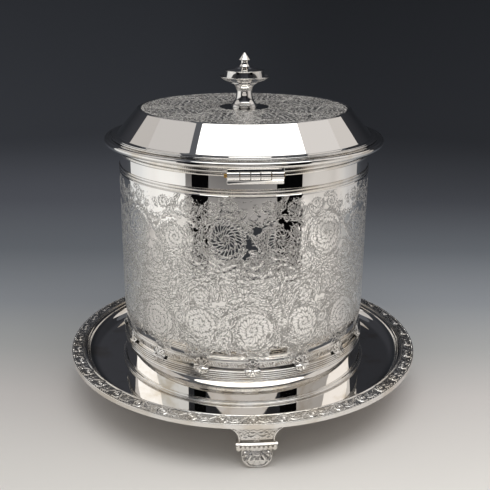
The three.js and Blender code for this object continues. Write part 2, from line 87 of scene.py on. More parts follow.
# %% Place the camera
CAMERA_PLACE = (-0.0363, -0.4902, 0.25875)
CAMERA_PITCH = math.radians(18.416)
CAMERA_HEADING = math.radians(4.355)
CAMERA_ROLL = math.radians(0.3745)
CAMERA_LENS = 57.494

look = (
    Matrix.Rotation(-CAMERA_HEADING, 3, "Z")
    @ Matrix.Rotation(math.pi / 2 - CAMERA_PITCH, 3, "X")
    @ Matrix.Rotation(CAMERA_ROLL, 3, "Z")
)
bpy.ops.object.camera_add(location=CAMERA_PLACE, rotation=look.to_euler())
camera = bpy.context.object
camera.data.lens = CAMERA_LENS
bpy.context.scene.camera = camera
bpy.context.scene.view_settings.view_transform = "Standard"
print("camera", [round(v, 3) for v in camera.location])

# %% [markdown]
# ## Helpers for materials
#
# Colours are written as the hex values that a paint chart gives and turned to linear light by one
# function. The others add a shader node, set it, wire it and hand on what comes out of it.

# %% Colour and node helpers
def colour(hex_code):
    """Linear colour of an sRGB hex value such as D8D6D2."""
    shares = [int(hex_code[i : i + 2], 16) / 255 for i in (0, 2, 4)]
    linear = [s / 12.92 if s <= 0.04045 else ((s + 0.055) / 1.055) ** 2.4 for s in shares]
    return (*linear, 1.0)


def add_node(tree, kind, settings=None, inputs=None):
    """A shader node with its settings, and with each input given a value or another node's output."""
    node = tree.nodes.new(kind)
    for name, value in (settings or {}).items():
        setattr(node, name, value)
    for name, value in (inputs or {}).items():
        if isinstance(value, bpy.types.NodeSocket):
            tree.links.new(value, node.inputs[name])
        else:
            node.inputs[name].default_value = value
    return node


def blank_material(name):
    """A new material, its node tree and its Principled shader."""
    material = bpy.data.materials.new(name)
    material.use_nodes = True
    return material, material.node_tree, material.node_tree.nodes["Principled BSDF"]


def between(tree, value, start, end, to_start=0.0, to_end=1.0):
    """The value's share of the way from start to end, eased and sent to a new range."""
    node = add_node(
        tree,
        "ShaderNodeMapRange",
        {"interpolation_type": "SMOOTHSTEP"},
        {"Value": value, "From Min": start, "From Max": end, "To Min": to_start, "To Max": to_end},
    )
    return node.outputs[0]


def worked(tree, operation, first, second=0.0, third=0.0):
    """The result of one Math node."""
    inputs = {0: first, 1: second, 2: third}
    return add_node(tree, "ShaderNodeMath", {"operation": operation}, inputs).outputs[0]


def even_share(tree, value, start, end):
    """The value's share of the way from start to end, without easing."""
    limits = {"Value": value, "From Min": start, "From Max": end}
    return add_node(tree, "ShaderNodeMapRange", None, limits).outputs[0]


def distance_along(tree, place, direction):
    """How far a place lies in a direction."""
    inputs = {0: place, 1: direction}
    return add_node(tree, "ShaderNodeVectorMath", {"operation": "DOT_PRODUCT"}, inputs).outputs["Value"]


def scaled(tree, vector, factor):
    """A vector or a colour times a factor."""
    inputs = {0: vector, "Scale": factor}
    return add_node(tree, "ShaderNodeVectorMath", {"operation": "SCALE"}, inputs).outputs[0]


def mixed(tree, share, first, second):
    """A colour mixed by a share from the first to the second."""
    inputs = {"Factor": share, "A": first, "B": second}
    return add_node(tree, "ShaderNodeMix", {"data_type": "RGBA"}, inputs).outputs["Result"]


# %% [markdown]
# ## Studio
#
# Silver shows its surroundings, so the studio is part of the finish. A pale sweep of paper carries the
# barrel. A large softbox hangs overhead, two stand low at the sides and two big panels stand high
# behind those. In front, a dim card and a bright low strip light what faces the camera. Black flags
# stand between the side lamps and the front, and a dark strip lies on the floor before the barrel,
# seen only in reflections. They give polished silver its dark accents.

# %% Build the paper sweep
FLOOR_RADIUS = 0.95
SWEEP_RADIUS = 0.35
WALL_TOP = 1.1
SWEEP_STEPS = 12
SWEEP_SIDES = 96


def deselect_all():
    if bpy.context.object and bpy.context.object.mode != "OBJECT":
        bpy.ops.object.mode_set(mode="OBJECT")
    bpy.ops.object.select_all(action="DESELECT")


def choose(piece):
    """Makes a piece the active one and the only one selected."""
    deselect_all()
    piece.select_set(True)
    bpy.context.view_layer.objects.active = piece


@contextmanager
def editing_all():
    """Edit mode on the whole active piece while the block runs."""
    bpy.ops.object.mode_set(mode="EDIT")
    bpy.ops.mesh.select_all(action="SELECT")
    yield
    bpy.ops.object.mode_set(mode="OBJECT")


def turn_outward(merge=True):
    """Turns all faces of the active piece outward, and first merges its doubled points if asked."""
    with editing_all():
        if merge:
            bpy.ops.mesh.remove_doubles(threshold=MM / 1000)
        bpy.ops.mesh.normals_make_consistent(inside=False)


def drawn_line(name, points):
    """A new object that holds a line of edges through [x, z] points in metres, left in edit mode."""
    deselect_all()
    bpy.ops.mesh.primitive_plane_add(size=MM)
    piece = bpy.context.object
    piece.name = name
    piece.data.name = name
    bpy.ops.object.mode_set(mode="EDIT")
    bpy.ops.mesh.select_all(action="SELECT")
    bpy.ops.mesh.merge(type="CENTER")
    bpy.ops.transform.translate(value=(points[0][0], 0, points[0][1]))
    for (x0, z0), (x1, z1) in zip(points, points[1:]):
        step = (x1 - x0, 0, z1 - z0)
        bpy.ops.mesh.extrude_vertices_move(TRANSFORM_OT_translate={"value": step})
    return piece


def spun(piece, steps):
    """Turns the line being edited all the way round the barrel's axis and closes the seam."""
    bpy.ops.object.mode_set(mode="OBJECT")
    lathe = piece.modifiers.new("lathe", "SCREW")
    lathe.angle = 2 * math.pi
    lathe.steps = steps
    lathe.render_steps = steps
    lathe.use_merge_vertices = True
    lathe.merge_threshold = MM / 1000
    bpy.ops.object.modifier_apply(modifier=lathe.name)
    turn_outward()
    return piece


def arc(x, y, width, height, start, end, steps):
    """Points of an ellipse about a centre, from one angle to another in degrees."""
    angles = np.radians(np.linspace(start, end, steps + 1))
    return [(x + width * math.cos(a), y + height * math.sin(a)) for a in angles]


sweep_line = [(0, 0), (FLOOR_RADIUS, 0)]
sweep_line += arc(FLOOR_RADIUS, SWEEP_RADIUS, SWEEP_RADIUS, SWEEP_RADIUS, -90, 0, SWEEP_STEPS)[1:]
sweep_line.append((FLOOR_RADIUS + SWEEP_RADIUS, WALL_TOP))
sweep = spun(drawn_line("paper_sweep", sweep_line), SWEEP_SIDES)
with editing_all():
    bpy.ops.mesh.flip_normals()
bpy.ops.object.shade_smooth()
print("sweep", [round(v, 2) for v in sweep.dimensions])

# %% [markdown]
# The paper's colour carries painted light. It is painted brightest just in front of the barrel and
# graded to a dark grey behind it and far in front, a painted falloff of the light, and painted lighter
# high up the wall. The grade follows the distance from the barrel along the camera's line of sight.
# Beside the front it keeps only a part of its tone, far out where only the silver sees it: painted shade.
# The light painted into it also leans, a little to the right in front and to the left behind.

# %% Paint the paper
# Tones of a painted light falloff, by distance along the camera's line of sight.
PAPER_PAINTED_LIGHT_TONES = [
    (-1.05, "25292F"),
    (-0.88, "32363B"),
    (-0.75, "8F8D8D"),
    (-0.50, "BBB8B7"),
    (-0.34, "FAF7F4"),
    (-0.18, "FAF7F4"),
    (-0.12, "EDEAE6"),
    (-0.03, "D9D5D3"),
    (0.04, "B7B8B8"),
    (0.13, "94989E"),
    (0.27, "70757C"),
    (0.46, "5A5D65"),
    (0.78, "4A4D54"),
    (1.30, "3C3F45"),
]
# The high tone, the SHADE values and the LEAN values below paint light and shade into the paper's colour.
HIGH_PAPER = "53555C"
HIGH_PAPER_FROM = 0.34
HIGH_PAPER_TO = 0.62
SHADE_FROM = 0.38
SHADE_TO = 0.55
SHADE_LEFT = 0.62
SHADE_RIGHT = 0.42
SHADE_EASE = 0.1
LEAN_FRONT = 0.09
LEAN_BACK = -0.2
LEAN_WIDTH = 0.2
LEAN_DEPTHS = (0.15, 0.6)
PAPER_ROUGHNESS = 0.9
PAPER_SHINE = 0.1


def paper_with_painted_light():
    """Paper with painted light: a falloff by distance and height, painted shade beside the front and a
    painted lean of light.
    """
    material, tree, shader = blank_material("paper with painted light, matt")
    place = add_node(tree, "ShaderNodeTexCoord").outputs["Object"]
    sine, cosine = math.sin(CAMERA_HEADING), math.cos(CAMERA_HEADING)
    depth = distance_along(tree, place, (sine, cosine, 0))
    across = distance_along(tree, place, (cosine, -sine, 0))
    # Painted light falloff: the ramp paints the paper's tone by its distance from the barrel.
    nearest, farthest = PAPER_PAINTED_LIGHT_TONES[0][0], PAPER_PAINTED_LIGHT_TONES[-1][0]
    ramp = add_node(tree, "ShaderNodeValToRGB", None, {"Fac": even_share(tree, depth, nearest, farthest)})
    tones = ramp.color_ramp.elements
    while len(tones) < len(PAPER_PAINTED_LIGHT_TONES):
        tones.new(0.5)
    for stop, (at, tone) in zip(tones, PAPER_PAINTED_LIGHT_TONES):
        stop.position = (at - nearest) / (farthest - nearest)
        stop.color = colour(tone)
    # Painted light: the paper is painted a lighter grey high up the wall.
    height = add_node(tree, "ShaderNodeSeparateXYZ", None, {0: place}).outputs[2]
    climb = even_share(tree, height, HIGH_PAPER_FROM, HIGH_PAPER_TO)
    paper = mixed(tree, climb, ramp.outputs["Color"], colour(HIGH_PAPER))
    # Painted shade: the tone is cut far out beside the front.
    outward = between(tree, worked(tree, "ABSOLUTE", across), SHADE_FROM, SHADE_TO)
    shaded = worked(tree, "MULTIPLY", outward, between(tree, depth, SHADE_EASE, -SHADE_EASE))
    painted_light_share = between(tree, across, -MM, MM, SHADE_LEFT, SHADE_RIGHT)
    painted_light_share = worked(tree, "MULTIPLY_ADD", shaded, worked(tree, "SUBTRACT", painted_light_share, 1.0), 1.0)
    # Painted lean of light: lighter to the right in front and to the left behind.
    side = between(tree, across, -LEAN_WIDTH, LEAN_WIDTH, -1.0, 1.0)
    lean = between(tree, depth, *LEAN_DEPTHS, LEAN_FRONT, LEAN_BACK)
    painted_light_share = worked(tree, "MULTIPLY", painted_light_share, worked(tree, "MULTIPLY_ADD", side, lean, 1.0))
    tree.links.new(scaled(tree, paper, painted_light_share), shader.inputs["Base Color"])
    shader.inputs["Roughness"].default_value = PAPER_ROUGHNESS
    shader.inputs["Specular IOR Level"].default_value = PAPER_SHINE
    return material


sweep.data.materials.append(paper_with_painted_light())
print("paper", sweep.data.materials[0].name)

# %% [markdown]
# Each softbox is an area lamp. Its power is worked out from the brightness that silver should show
# when it mirrors the lamp, so 1 is white. The lamps and flags stay out of the camera's sight. Places
# and sizes are in metres, and azimuths in degrees from the camera's own side of the barrel.

# %% Hang the lamps and stand the flags
NEUTRAL = colour("FFFFFD")
WARM = colour("FFF9F3")
OVERHEAD_SIZE = (1.2, 0.76)
OVERHEAD_PLACE = (0.065, -0.32, 1.03)
OVERHEAD_TARGET = (0.065, -0.25, 0)
OVERHEAD_BRIGHTNESS = 1.55
SIDE_SIZE = (0.62, 0.3)
SIDE_DISTANCE = 0.46
SIDE_AZIMUTH = 83
SIDE_CLEARANCE = 0.01
HIGH_SIZE = (1.3, 1.1)
HIGH_DISTANCE = 1.02
HIGH_LEVEL = 0.95
HIGH_AZIMUTH = 106
HIGH_TARGET_LEVEL = 0.17
FLAG_HEIGHT = 0.12
HIGH_FLAG_TOP = 0.3
FLAG_DISTANCE = 0.36
FLAG_SPANS = ((-41.5, -27.5), (26.0, 47.5))
HIGH_FLAG_SPANS = ((-41.5, -31.0), (32.0, 47.5))
CARD_SIZE = (0.55, 0.07)
CARD_DISTANCE = 0.45
CARD_LEVEL = 0.228
CARD_BRIGHTNESS = 0.55
DARK_DISTANCE = 0.435
DARK_SIZE = (0.4, 0.15)
STRIP_SIZE = (0.5, 0.022)
STRIP_DISTANCE = 0.6
STRIP_LEVEL = 0.165
STRIP_TARGET_LEVEL = 0.02
STRIP_BRIGHTNESS = 2.0

# For the left and the right side: the low lamp's brightness and tint, and the high panel's brightness.
SIDE_LIGHTS = ((-1, 0.66, NEUTRAL, 0.5), (1, 0.37, WARM, 0.62))


def around(azimuth, distance, height):
    """A point at an azimuth from the camera's own side of the barrel, positive to the right."""
    angle = math.radians(azimuth) - CAMERA_HEADING
    return Vector((distance * math.sin(angle), -distance * math.cos(angle), height))


def aimed(place, target):
    """The turn that points a lamp or a card from its place at a target."""
    return (place - Vector(target)).to_track_quat("Z", "Y").to_euler()


def softbox(name, place, target, size, brightness, tint, shape="RECTANGLE"):
    """An area lamp that mirrors in silver with the brightness given."""
    deselect_all()
    place = Vector(place)
    bpy.ops.object.light_add(type="AREA", location=place, rotation=aimed(place, target))
    lamp = bpy.context.object
    lamp.name = name
    lamp.data.shape = shape
    lamp.data.size, lamp.data.size_y = size
    lamp.data.energy = brightness * math.pi * size[0] * size[1]
    lamp.data.color = tint[:3]
    lamp.visible_camera = False
    return lamp


def matt(name, tone, roughness, shine):
    """A plain material without a pattern."""
    material, _, shader = blank_material(name)
    shader.inputs["Base Color"].default_value = colour(tone)
    shader.inputs["Roughness"].default_value = roughness
    shader.inputs["Specular IOR Level"].default_value = shine
    return material


def flag(name, place, target, size, material):
    """A dark card that only reflections see."""
    deselect_all()
    bpy.ops.mesh.primitive_plane_add(size=1, location=place, rotation=aimed(place, target))
    card = bpy.context.object
    card.name = name
    card.dimensions = (*size, 0)
    bpy.ops.object.transform_apply(location=True, rotation=True, scale=True)
    card.data.materials.append(material)
    card.visible_camera = False
    card.visible_shadow = False
    card.visible_diffuse = False


def stand_flags(spans, bottom, top):
    """Black flags between two levels, each over a span of degrees round the front."""
    for first, last in spans:
        width = 2 * FLAG_DISTANCE * math.tan(math.radians(last - first) / 2)
        level = (bottom + top) / 2
        place = around((first + last) / 2, FLAG_DISTANCE, level)
        flag("black_flag", place, (0, 0, level), (width, top - bottom), cloth)


softbox(
    "overhead_softbox",
    OVERHEAD_PLACE,
    OVERHEAD_TARGET,
    OVERHEAD_SIZE,
    OVERHEAD_BRIGHTNESS,
    NEUTRAL,
    "ELLIPSE",
)
for side, low_brightness, low_tint, high_brightness in SIDE_LIGHTS:
    side_place = around(side * SIDE_AZIMUTH, SIDE_DISTANCE, SIDE_SIZE[1] / 2 + SIDE_CLEARANCE)
    softbox("side_softbox", side_place, (0, 0, side_place.z), SIDE_SIZE, low_brightness, low_tint)
    high_place = around(side * HIGH_AZIMUTH, HIGH_DISTANCE, HIGH_LEVEL)
    softbox("high_panel", high_place, (0, 0, HIGH_TARGET_LEVEL), HIGH_SIZE, high_brightness, WARM)
card_place = around(0, CARD_DISTANCE, CARD_LEVEL)
softbox("front_card", card_place, (0, 0, CARD_LEVEL), CARD_SIZE, CARD_BRIGHTNESS, WARM)
strip_place = around(0, STRIP_DISTANCE, STRIP_LEVEL)
softbox("low_strip", strip_place, (0, 0, STRIP_TARGET_LEVEL), STRIP_SIZE, STRIP_BRIGHTNESS, WARM)

cloth = matt("black cloth", "0A0A0B", roughness=1.0, shine=0.0)
# A dark strip on the floor before the barrel, seen only in reflections.
dark_strip_finish = matt("dark floor strip", "2A2E35", roughness=0.9, shine=0.5)
dark_place = around(0, DARK_DISTANCE, MM)
flag("dark_strip", dark_place, around(0, DARK_DISTANCE, 1), DARK_SIZE, dark_strip_finish)
stand_flags(FLAG_SPANS, 0, FLAG_HEIGHT)
stand_flags(HIGH_FLAG_SPANS, FLAG_HEIGHT, HIGH_FLAG_TOP)

# %% [markdown]
# The world is a quiet grey fill for shadows. Reflections and the camera see it darker, as the unlit
# ceiling of the studio.

# %% Set the world
FILL = 0.5
CEILING = colour("5A5C61")

world = bpy.data.worlds.new("studio")
bpy.context.scene.world = world
world.use_nodes = True
world_tree = world.node_tree
world_tree.nodes.clear()
rays = add_node(world_tree, "ShaderNodeLightPath")
seen = worked(world_tree, "MAXIMUM", rays.outputs["Is Camera Ray"], rays.outputs["Is Glossy Ray"])
seen = worked(world_tree, "MAXIMUM", seen, rays.outputs["Is Transmission Ray"])
fill = add_node(world_tree, "ShaderNodeBackground", None, {"Color": colour("FFFFFF"), "Strength": FILL})
ceiling = add_node(world_tree, "ShaderNodeBackground", None, {"Color": CEILING, "Strength": 1.0})
shades = {0: seen, 1: fill.outputs[0], 2: ceiling.outputs[0]}
either = add_node(world_tree, "ShaderNodeMixShader", None, shades)
add_node(world_tree, "ShaderNodeOutputWorld", None, {"Surface": either.outputs[0]})
print("world", world.name)

# %% [markdown]
# ## Silver plate and brass
#
# The barrel is electroplated silver that was buffed with rouge. It mirrors the room, with hairlines
# from years of cloths, a slow waver left by the spinning lathe, and a warmer tone where polish doesn't
# reach. Castings and wires keep brown tarnish in their hollows, and the insides are satin. Each pair
# of numbers below is a range: of a noise, of a curvature or of a roughness.

# %% Helpers for finishes
SILVER = colour("F5F3F0")
SILVER_WARM = colour("E4DDD2")
TARNISH = colour("4C443B")
HAIRLINE_PITCH = 0.35
WAVER_PITCH = 26.0
WAVER_DEPTH = 0.05
CLOUD_PITCH = 18.0


def in_millimetres(tree):
    """Object coordinates in millimetres, so that a pattern's scale can be read as a size."""
    return scaled(tree, add_node(tree, "ShaderNodeTexCoord").outputs["Object"], 1 / MM)


def cloud(tree, place, pitch, detail=3.0, stretch=(1, 1, 1)):
    """Noise with lumps about one pitch across, in millimetres, stretched along the axes."""
    sized = add_node(tree, "ShaderNodeMapping", None, {"Vector": place, "Scale": stretch})
    inputs = {"Vector": sized.outputs[0], "Scale": 1 / pitch, "Detail": detail, "Roughness": 0.55}
    return add_node(tree, "ShaderNodeTexNoise", None, inputs).outputs["Fac"]


def finish_metal(tree, shader, base, roughness, height, depth=1.0):
    """Wires a metal's colour, its roughness and its fine relief, which is a height times a depth."""
    bump = add_node(tree, "ShaderNodeBump", None, {"Height": height, "Distance": MM * depth})
    tree.links.new(base, shader.inputs["Base Color"])
    tree.links.new(roughness, shader.inputs["Roughness"])
    tree.links.new(bump.outputs[0], shader.inputs["Normal"])
    shader.inputs["Metallic"].default_value = 1.0


# %% Make the silver finishes and the brass
PLATE_HAIRLINES = 0.0006
PLATE_CLOUDS = (0.5, 0.75)
PLATE_ROUGHNESS = (0.01, 0.03)
CAST_HAIRLINES = 0.01
CAST_CLOUDS = (0.36, 0.7)
HOLLOWS = (0.497, 0.462)
HOLLOW_ROUGHNESS = 0.42
SATIN_LINES = 0.004
SATIN_CLOUDS = (0.35, 0.8)
SATIN_ROUGHNESS = (0.22, 0.36)
BRASS_YELLOW = colour("D9B36A")
BRASS_BROWN = colour("8F6A36")
BRASS_LINES = 0.01
BRASS_CLOUD_PITCH = 3.0
BRASS_LINE_PITCH = 0.2
BRASS_CLOUDS = (0.4, 0.75)
BRASS_ROUGHNESS = (0.2, 0.38)


def polished_silver():
    """Buffed plate, on all that was spun and is within a cloth's reach."""
    material, tree, shader = blank_material("polished silver plate")
    place = in_millimetres(tree)
    clouds = cloud(tree, place, CLOUD_PITCH)
    hairlines = cloud(tree, place, HAIRLINE_PITCH, detail=2.0, stretch=(0.06, 0.06, 1.0))
    hairlines = worked(tree, "MULTIPLY", hairlines, PLATE_HAIRLINES)
    waver = cloud(tree, place, WAVER_PITCH, detail=1.0)
    height = worked(tree, "MULTIPLY_ADD", waver, WAVER_DEPTH, hairlines)
    base = mixed(tree, between(tree, clouds, *PLATE_CLOUDS), SILVER, SILVER_WARM)
    finish_metal(tree, shader, base, between(tree, clouds, 0.3, 0.8, *PLATE_ROUGHNESS), height)
    return material


def cast_silver(name, softness, tarnish):
    """Polished castings and wires. Brown tarnish stays in their hollows, where no cloth reaches."""
    material, tree, shader = blank_material(name)
    place = in_millimetres(tree)
    curvature = add_node(tree, "ShaderNodeNewGeometry").outputs["Pointiness"]
    hollow = between(tree, curvature, *HOLLOWS)
    clouds = cloud(tree, place, CLOUD_PITCH)
    hairlines = cloud(tree, place, HAIRLINE_PITCH, detail=2.0)
    base = mixed(tree, between(tree, clouds, *CAST_CLOUDS), SILVER, SILVER_WARM)
    base = mixed(tree, worked(tree, "MULTIPLY", hollow, tarnish), base, TARNISH)
    roughness = between(tree, hollow, 0.0, 1.0, softness, HOLLOW_ROUGHNESS)
    finish_metal(tree, shader, base, roughness, hairlines, CAST_HAIRLINES)
    return material


def satin_silver():
    """Plate that cloths seldom reach, on the insides and undersides. It is duller and warmer."""
    material, tree, shader = blank_material("satin silver plate")
    place = in_millimetres(tree)
    clouds = cloud(tree, place, CLOUD_PITCH)
    lathe_lines = cloud(tree, place, HAIRLINE_PITCH, detail=2.0, stretch=(0.05, 0.05, 1.0))
    base = mixed(tree, between(tree, clouds, *SATIN_CLOUDS), SILVER, SILVER_WARM)
    roughness = between(tree, clouds, 0.2, 0.8, *SATIN_ROUGHNESS)
    finish_metal(tree, shader, base, roughness, lathe_lines, SATIN_LINES)
    return material


def turned_brass():
    """Yellow brass off the lathe, with fine turning lines and a brown bloom."""
    material, tree, shader = blank_material("turned brass")
    place = in_millimetres(tree)
    clouds = cloud(tree, place, BRASS_CLOUD_PITCH)
    lines = cloud(tree, place, BRASS_LINE_PITCH, detail=2.0, stretch=(0.1, 0.1, 1.0))
    base = mixed(tree, between(tree, clouds, *BRASS_CLOUDS), BRASS_YELLOW, BRASS_BROWN)
    finish_metal(tree, shader, base, between(tree, clouds, 0.2, 0.8, *BRASS_ROUGHNESS), lines, BRASS_LINES)
    return material


plate = polished_silver()
cast = cast_silver("cast silver plate", softness=0.13, tarnish=0.8)
soft_cast = cast_silver("soft cast silver plate", softness=0.24, tarnish=0.5)
satin = satin_silver()
brass = turned_brass()
print("finishes", plate.name, cast.name, soft_cast.name, satin.name, brass.name)

# %% [markdown]
# ## Turned pieces
#
# A shell of revolution could be built from cylinders and cones, but the real ones were spun from flat
# sheet against a former, so here too an outline is drawn point by point and spun about the axis. A
# small function eases the corners first, because buffing leaves no sharp edge on silver.

# %% Helpers for turned pieces
ROUND_STEPS = 240
SMALL_STEPS = 96
EASE = 0.14
EASE_STEPS = 2
HOLD = 0.3
SOLDER_FILM = 0.05
SHARP = math.radians(25)
SMOOTH_BELOW = math.radians(32)


def held(line):
    """The closed outline with a point near each end of its long stretches, so that they shade flat."""
    steadied = []
    for point, following in zip(line, line[1:] + line[:1]):
        steadied.append(point)
        start, end = np.array(point), np.array(following)
        length = np.linalg.norm(end - start)
        on_axis = point[0] == 0 and following[0] == 0
        if length > 4 * HOLD and not on_axis:
            shares = (HOLD / length, 1 - HOLD / length)
            steadied += [tuple(start + (end - start) * share) for share in shares]
    return steadied


def eased(line, radius):
    """The closed outline with each sharp corner turned into a short curve. Points on the axis stay."""
    line = [np.array(point, float) for point in line]
    count = len(line)
    rounded = []
    for i, corner in enumerate(line):
        before, after = line[i - 1] - corner, line[(i + 1) % count] - corner
        reach_before, reach_after = np.linalg.norm(before), np.linalg.norm(after)
        turn = math.pi - math.acos(np.clip(before @ after / (reach_before * reach_after), -1, 1))
        if turn < SHARP or corner[0] == 0 or radius == 0:
            rounded.append(tuple(corner))
            continue
        reach_back = min(radius, 0.4 * reach_before) / reach_before
        reach_on = min(radius, 0.4 * reach_after) / reach_after
        start, end = corner + before * reach_back, corner + after * reach_on
        for t in np.linspace(0, 1, EASE_STEPS + 1):
            point = (1 - t) ** 2 * start + 2 * t * (1 - t) * corner + t**2 * end
            rounded.append(tuple(point))
    return held(rounded)


def beside(line, distance):
    """The line moved to its left by a distance, with mitred corners."""
    line = np.array(line, float)
    along = np.diff(line, axis=0)
    along /= np.linalg.norm(along, axis=1)[:, None]
    left = np.stack([-along[:, 1], along[:, 0]], 1)
    before = left[np.maximum(np.arange(len(line)) - 1, 0)]
    after = left[np.minimum(np.arange(len(line)), len(left) - 1)]
    share = distance / (1 + (before * after).sum(1))
    return [tuple(p) for p in line + share[:, None] * (before + after)]


def sheet(face, thickness):
    """Outline of a sheet that has the face on the right of the walk along it."""
    return list(face) + beside(face, thickness)[::-1]


def turned(name, outline, steps=ROUND_STEPS, ease=EASE):
    """A piece spun from an outline of [radius, height] points in millimetres."""
    rounded = eased(outline, ease)
    on_axis = outline[0][0] == 0 and outline[-1][0] == 0
    loop = rounded if on_axis else rounded + rounded[:1]
    piece = spun(drawn_line(name, [(r * MM, h * MM) for r, h in loop]), steps)
    bpy.ops.object.shade_smooth_by_angle(angle=SMOOTH_BELOW)
    return piece


def fitted(piece, body, slot, material, *solids):
    """Sets the finish of a piece and the body that carries it, and hides the solids that it stands for."""
    piece.data.materials.clear()
    piece.data.materials.append(material)
    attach(piece, body)
    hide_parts(*solids)
    size = [round(v / MM, 1) for v in piece.dimensions]
    print(piece.name, size, "mm,", len(piece.data.polygons), "faces")
    return piece


# %% [markdown]
# ## Tray
#
# The tray is a shallow spun dish. Its wall runs down to the flat floor in one wide cove, which
# mirrors the lamp overhead. It lies under the cast border, which hides its flat rim.

# %% Spin the tray
DISH_SHEET = 1.2
BORE_GAP = 0.15
STUD_RADIUS = 2.5
BORDER_WIDTH = 8.6
BORDER_RISE = 1.06
BORDER_SHEET = 1.2
FLANGE_WIDTH = 0.7
FLANGE_BEND = 0.3
COVE_FOOT = 96.0
COVE_STEPS = 18

tray_radius = reach("tray_border")
tray_floor = low("tray_dish") + DISH_SHEET
border_inner = tray_radius - BORDER_WIDTH
border_high = high("tray_border")


def border_top(radius):
    """Level of the border's plain upper face, which slopes down to the rim."""
    return border_high - BORDER_RISE * (radius - border_inner) / BORDER_WIDTH


def dish_face():
    """The dish's upper face, from under the border to the hole for the stud."""
    under_border = BORDER_SHEET + SOLDER_FILM
    flange_in = border_inner - FLANGE_WIDTH
    face = [(reach("tray_dish"), border_top(reach("tray_dish")) - under_border)]
    face.append((flange_in, border_top(flange_in) - under_border))
    wall_high = face[-1][1] - FLANGE_BEND
    face += arc(COVE_FOOT, wall_high, flange_in - COVE_FOOT, wall_high - tray_floor, 0, -90, COVE_STEPS)
    face.append((STUD_RADIUS + BORE_GAP, tray_floor))
    return face


dish = turned("spun_tray", sheet(dish_face(), DISH_SHEET), ease=0.1)
fitted(dish, "barrel", "silver_polished", plate, "tray_dish")

# %% [markdown]
# ## Cast border
#
# The border was cast in strips and soldered round the rim. Between a plain bead inside and a row of
# small beads outside runs a band of scrolls and leaves, and the outer edge is a plain round. The
# pattern is pressed into the spun ring as a height at each point.

# %% Helpers for relief
def points_of(mesh):
    """The mesh's points in metres, one in each row."""
    place = np.empty(len(mesh.vertices) * 3)
    mesh.vertices.foreach_get("co", place)
    return place.reshape(-1, 3)


def move_points(mesh, place):
    """Moves the mesh's points to places in millimetres."""
    mesh.vertices.foreach_set("co", (place * MM).ravel())
    mesh.update()


def smooth(piece, below=SMOOTH_BELOW):
    """Shades a piece smooth, apart from edges that turn by more than the angle."""
    choose(piece)
    bpy.ops.object.shade_smooth_by_angle(angle=below)


def carve(piece, height_at):
    """Moves every point along its normal by a height in millimetres, given its turn, radius and level."""
    mesh = piece.data
    place = points_of(mesh) / MM
    normal = np.empty(len(mesh.vertices) * 3)
    mesh.vertex_normals.foreach_get("vector", normal)
    turn = np.arctan2(place[:, 0], -place[:, 1])
    radius = np.hypot(place[:, 0], place[:, 1])
    place += normal.reshape(-1, 3) * height_at(turn, radius, place[:, 2])[:, None]
    move_points(mesh, place)
    smooth(piece)


def mound(distance, half_width):
    """A rounded ridge: 1 on its middle line and 0 beyond its half width."""
    return np.clip(1 - (distance / half_width) ** 2, 0, 1) ** 0.5


def petal(distance, reach_out, power=0.5):
    """A swelling that falls from 1 at its middle to 0 where it ends. A lower power makes it fuller."""
    return np.clip(1 - distance / reach_out, 0, 1) ** power


# %% Cast the border
BORDER_REPEATS = 40
BORDER_COLUMNS = BORDER_REPEATS * 38
BORDER_ROWS = 27
PITCH_RADIUS = 109
MOTIF_PITCH = 10.7
LIP_SHEET = 1.1
LIP_BEND = 0.8
EDGE_ROUND = 0.45
FACE_DEPTH = 0.3
GROUND_DEPTH = -0.34
SCROLL_RISE = 0.44
RELIEF_STARTS = 1.0
RELIEF_ENDS = 7.1
BEAD_ROW = 7.65
BEAD_RADIUS = 0.45
BEADS_PER_REPEAT = 8
BEAD_GROUND = -0.3
BEAD_RISE = 0.45
PLAIN_BEAD_RISE = 0.18


def border_face():
    """The border's face from its inner edge, over the rounded rim and down to the lip's foot."""
    inner_foot = border_top(border_inner) - BORDER_SHEET
    edge = tray_radius - EDGE_ROUND
    face = [(border_inner, inner_foot)]
    face += [(r, border_top(r)) for r in np.linspace(border_inner, edge, BORDER_ROWS)]
    round_low = border_top(tray_radius) - EDGE_ROUND * 0.75
    round_high = border_top(edge)
    face += arc(edge, round_low, EDGE_ROUND, round_high - round_low, 80, 0, 6)
    lip_inner = tray_radius - LIP_SHEET
    lip_high = border_top(tray_radius) - BORDER_SHEET - LIP_BEND / 2
    face += [(tray_radius, low("tray_border")), (lip_inner, low("tray_border")), (lip_inner, lip_high)]
    face.append((lip_inner - LIP_BEND, border_top(lip_inner - LIP_BEND) - BORDER_SHEET))
    return face


def curl(u, v, centre, size, turns, start, hand):
    """Distance from points to a spiral that winds inward from its start angle."""
    du, dv = u - centre[0], (v - centre[1]) * hand
    radius, angle = np.hypot(du, dv), np.arctan2(dv, du) - math.radians(start)
    best = np.full(radius.shape, 1e3)
    for lap in range(-1, int(turns) + 1):
        wound = np.mod(angle, 2 * math.pi) + lap * 2 * math.pi
        share = np.clip(wound / (2 * math.pi * turns), 0, 1)
        best = np.minimum(best, np.abs(radius - size * (1 - share) ** 0.8))
    return best


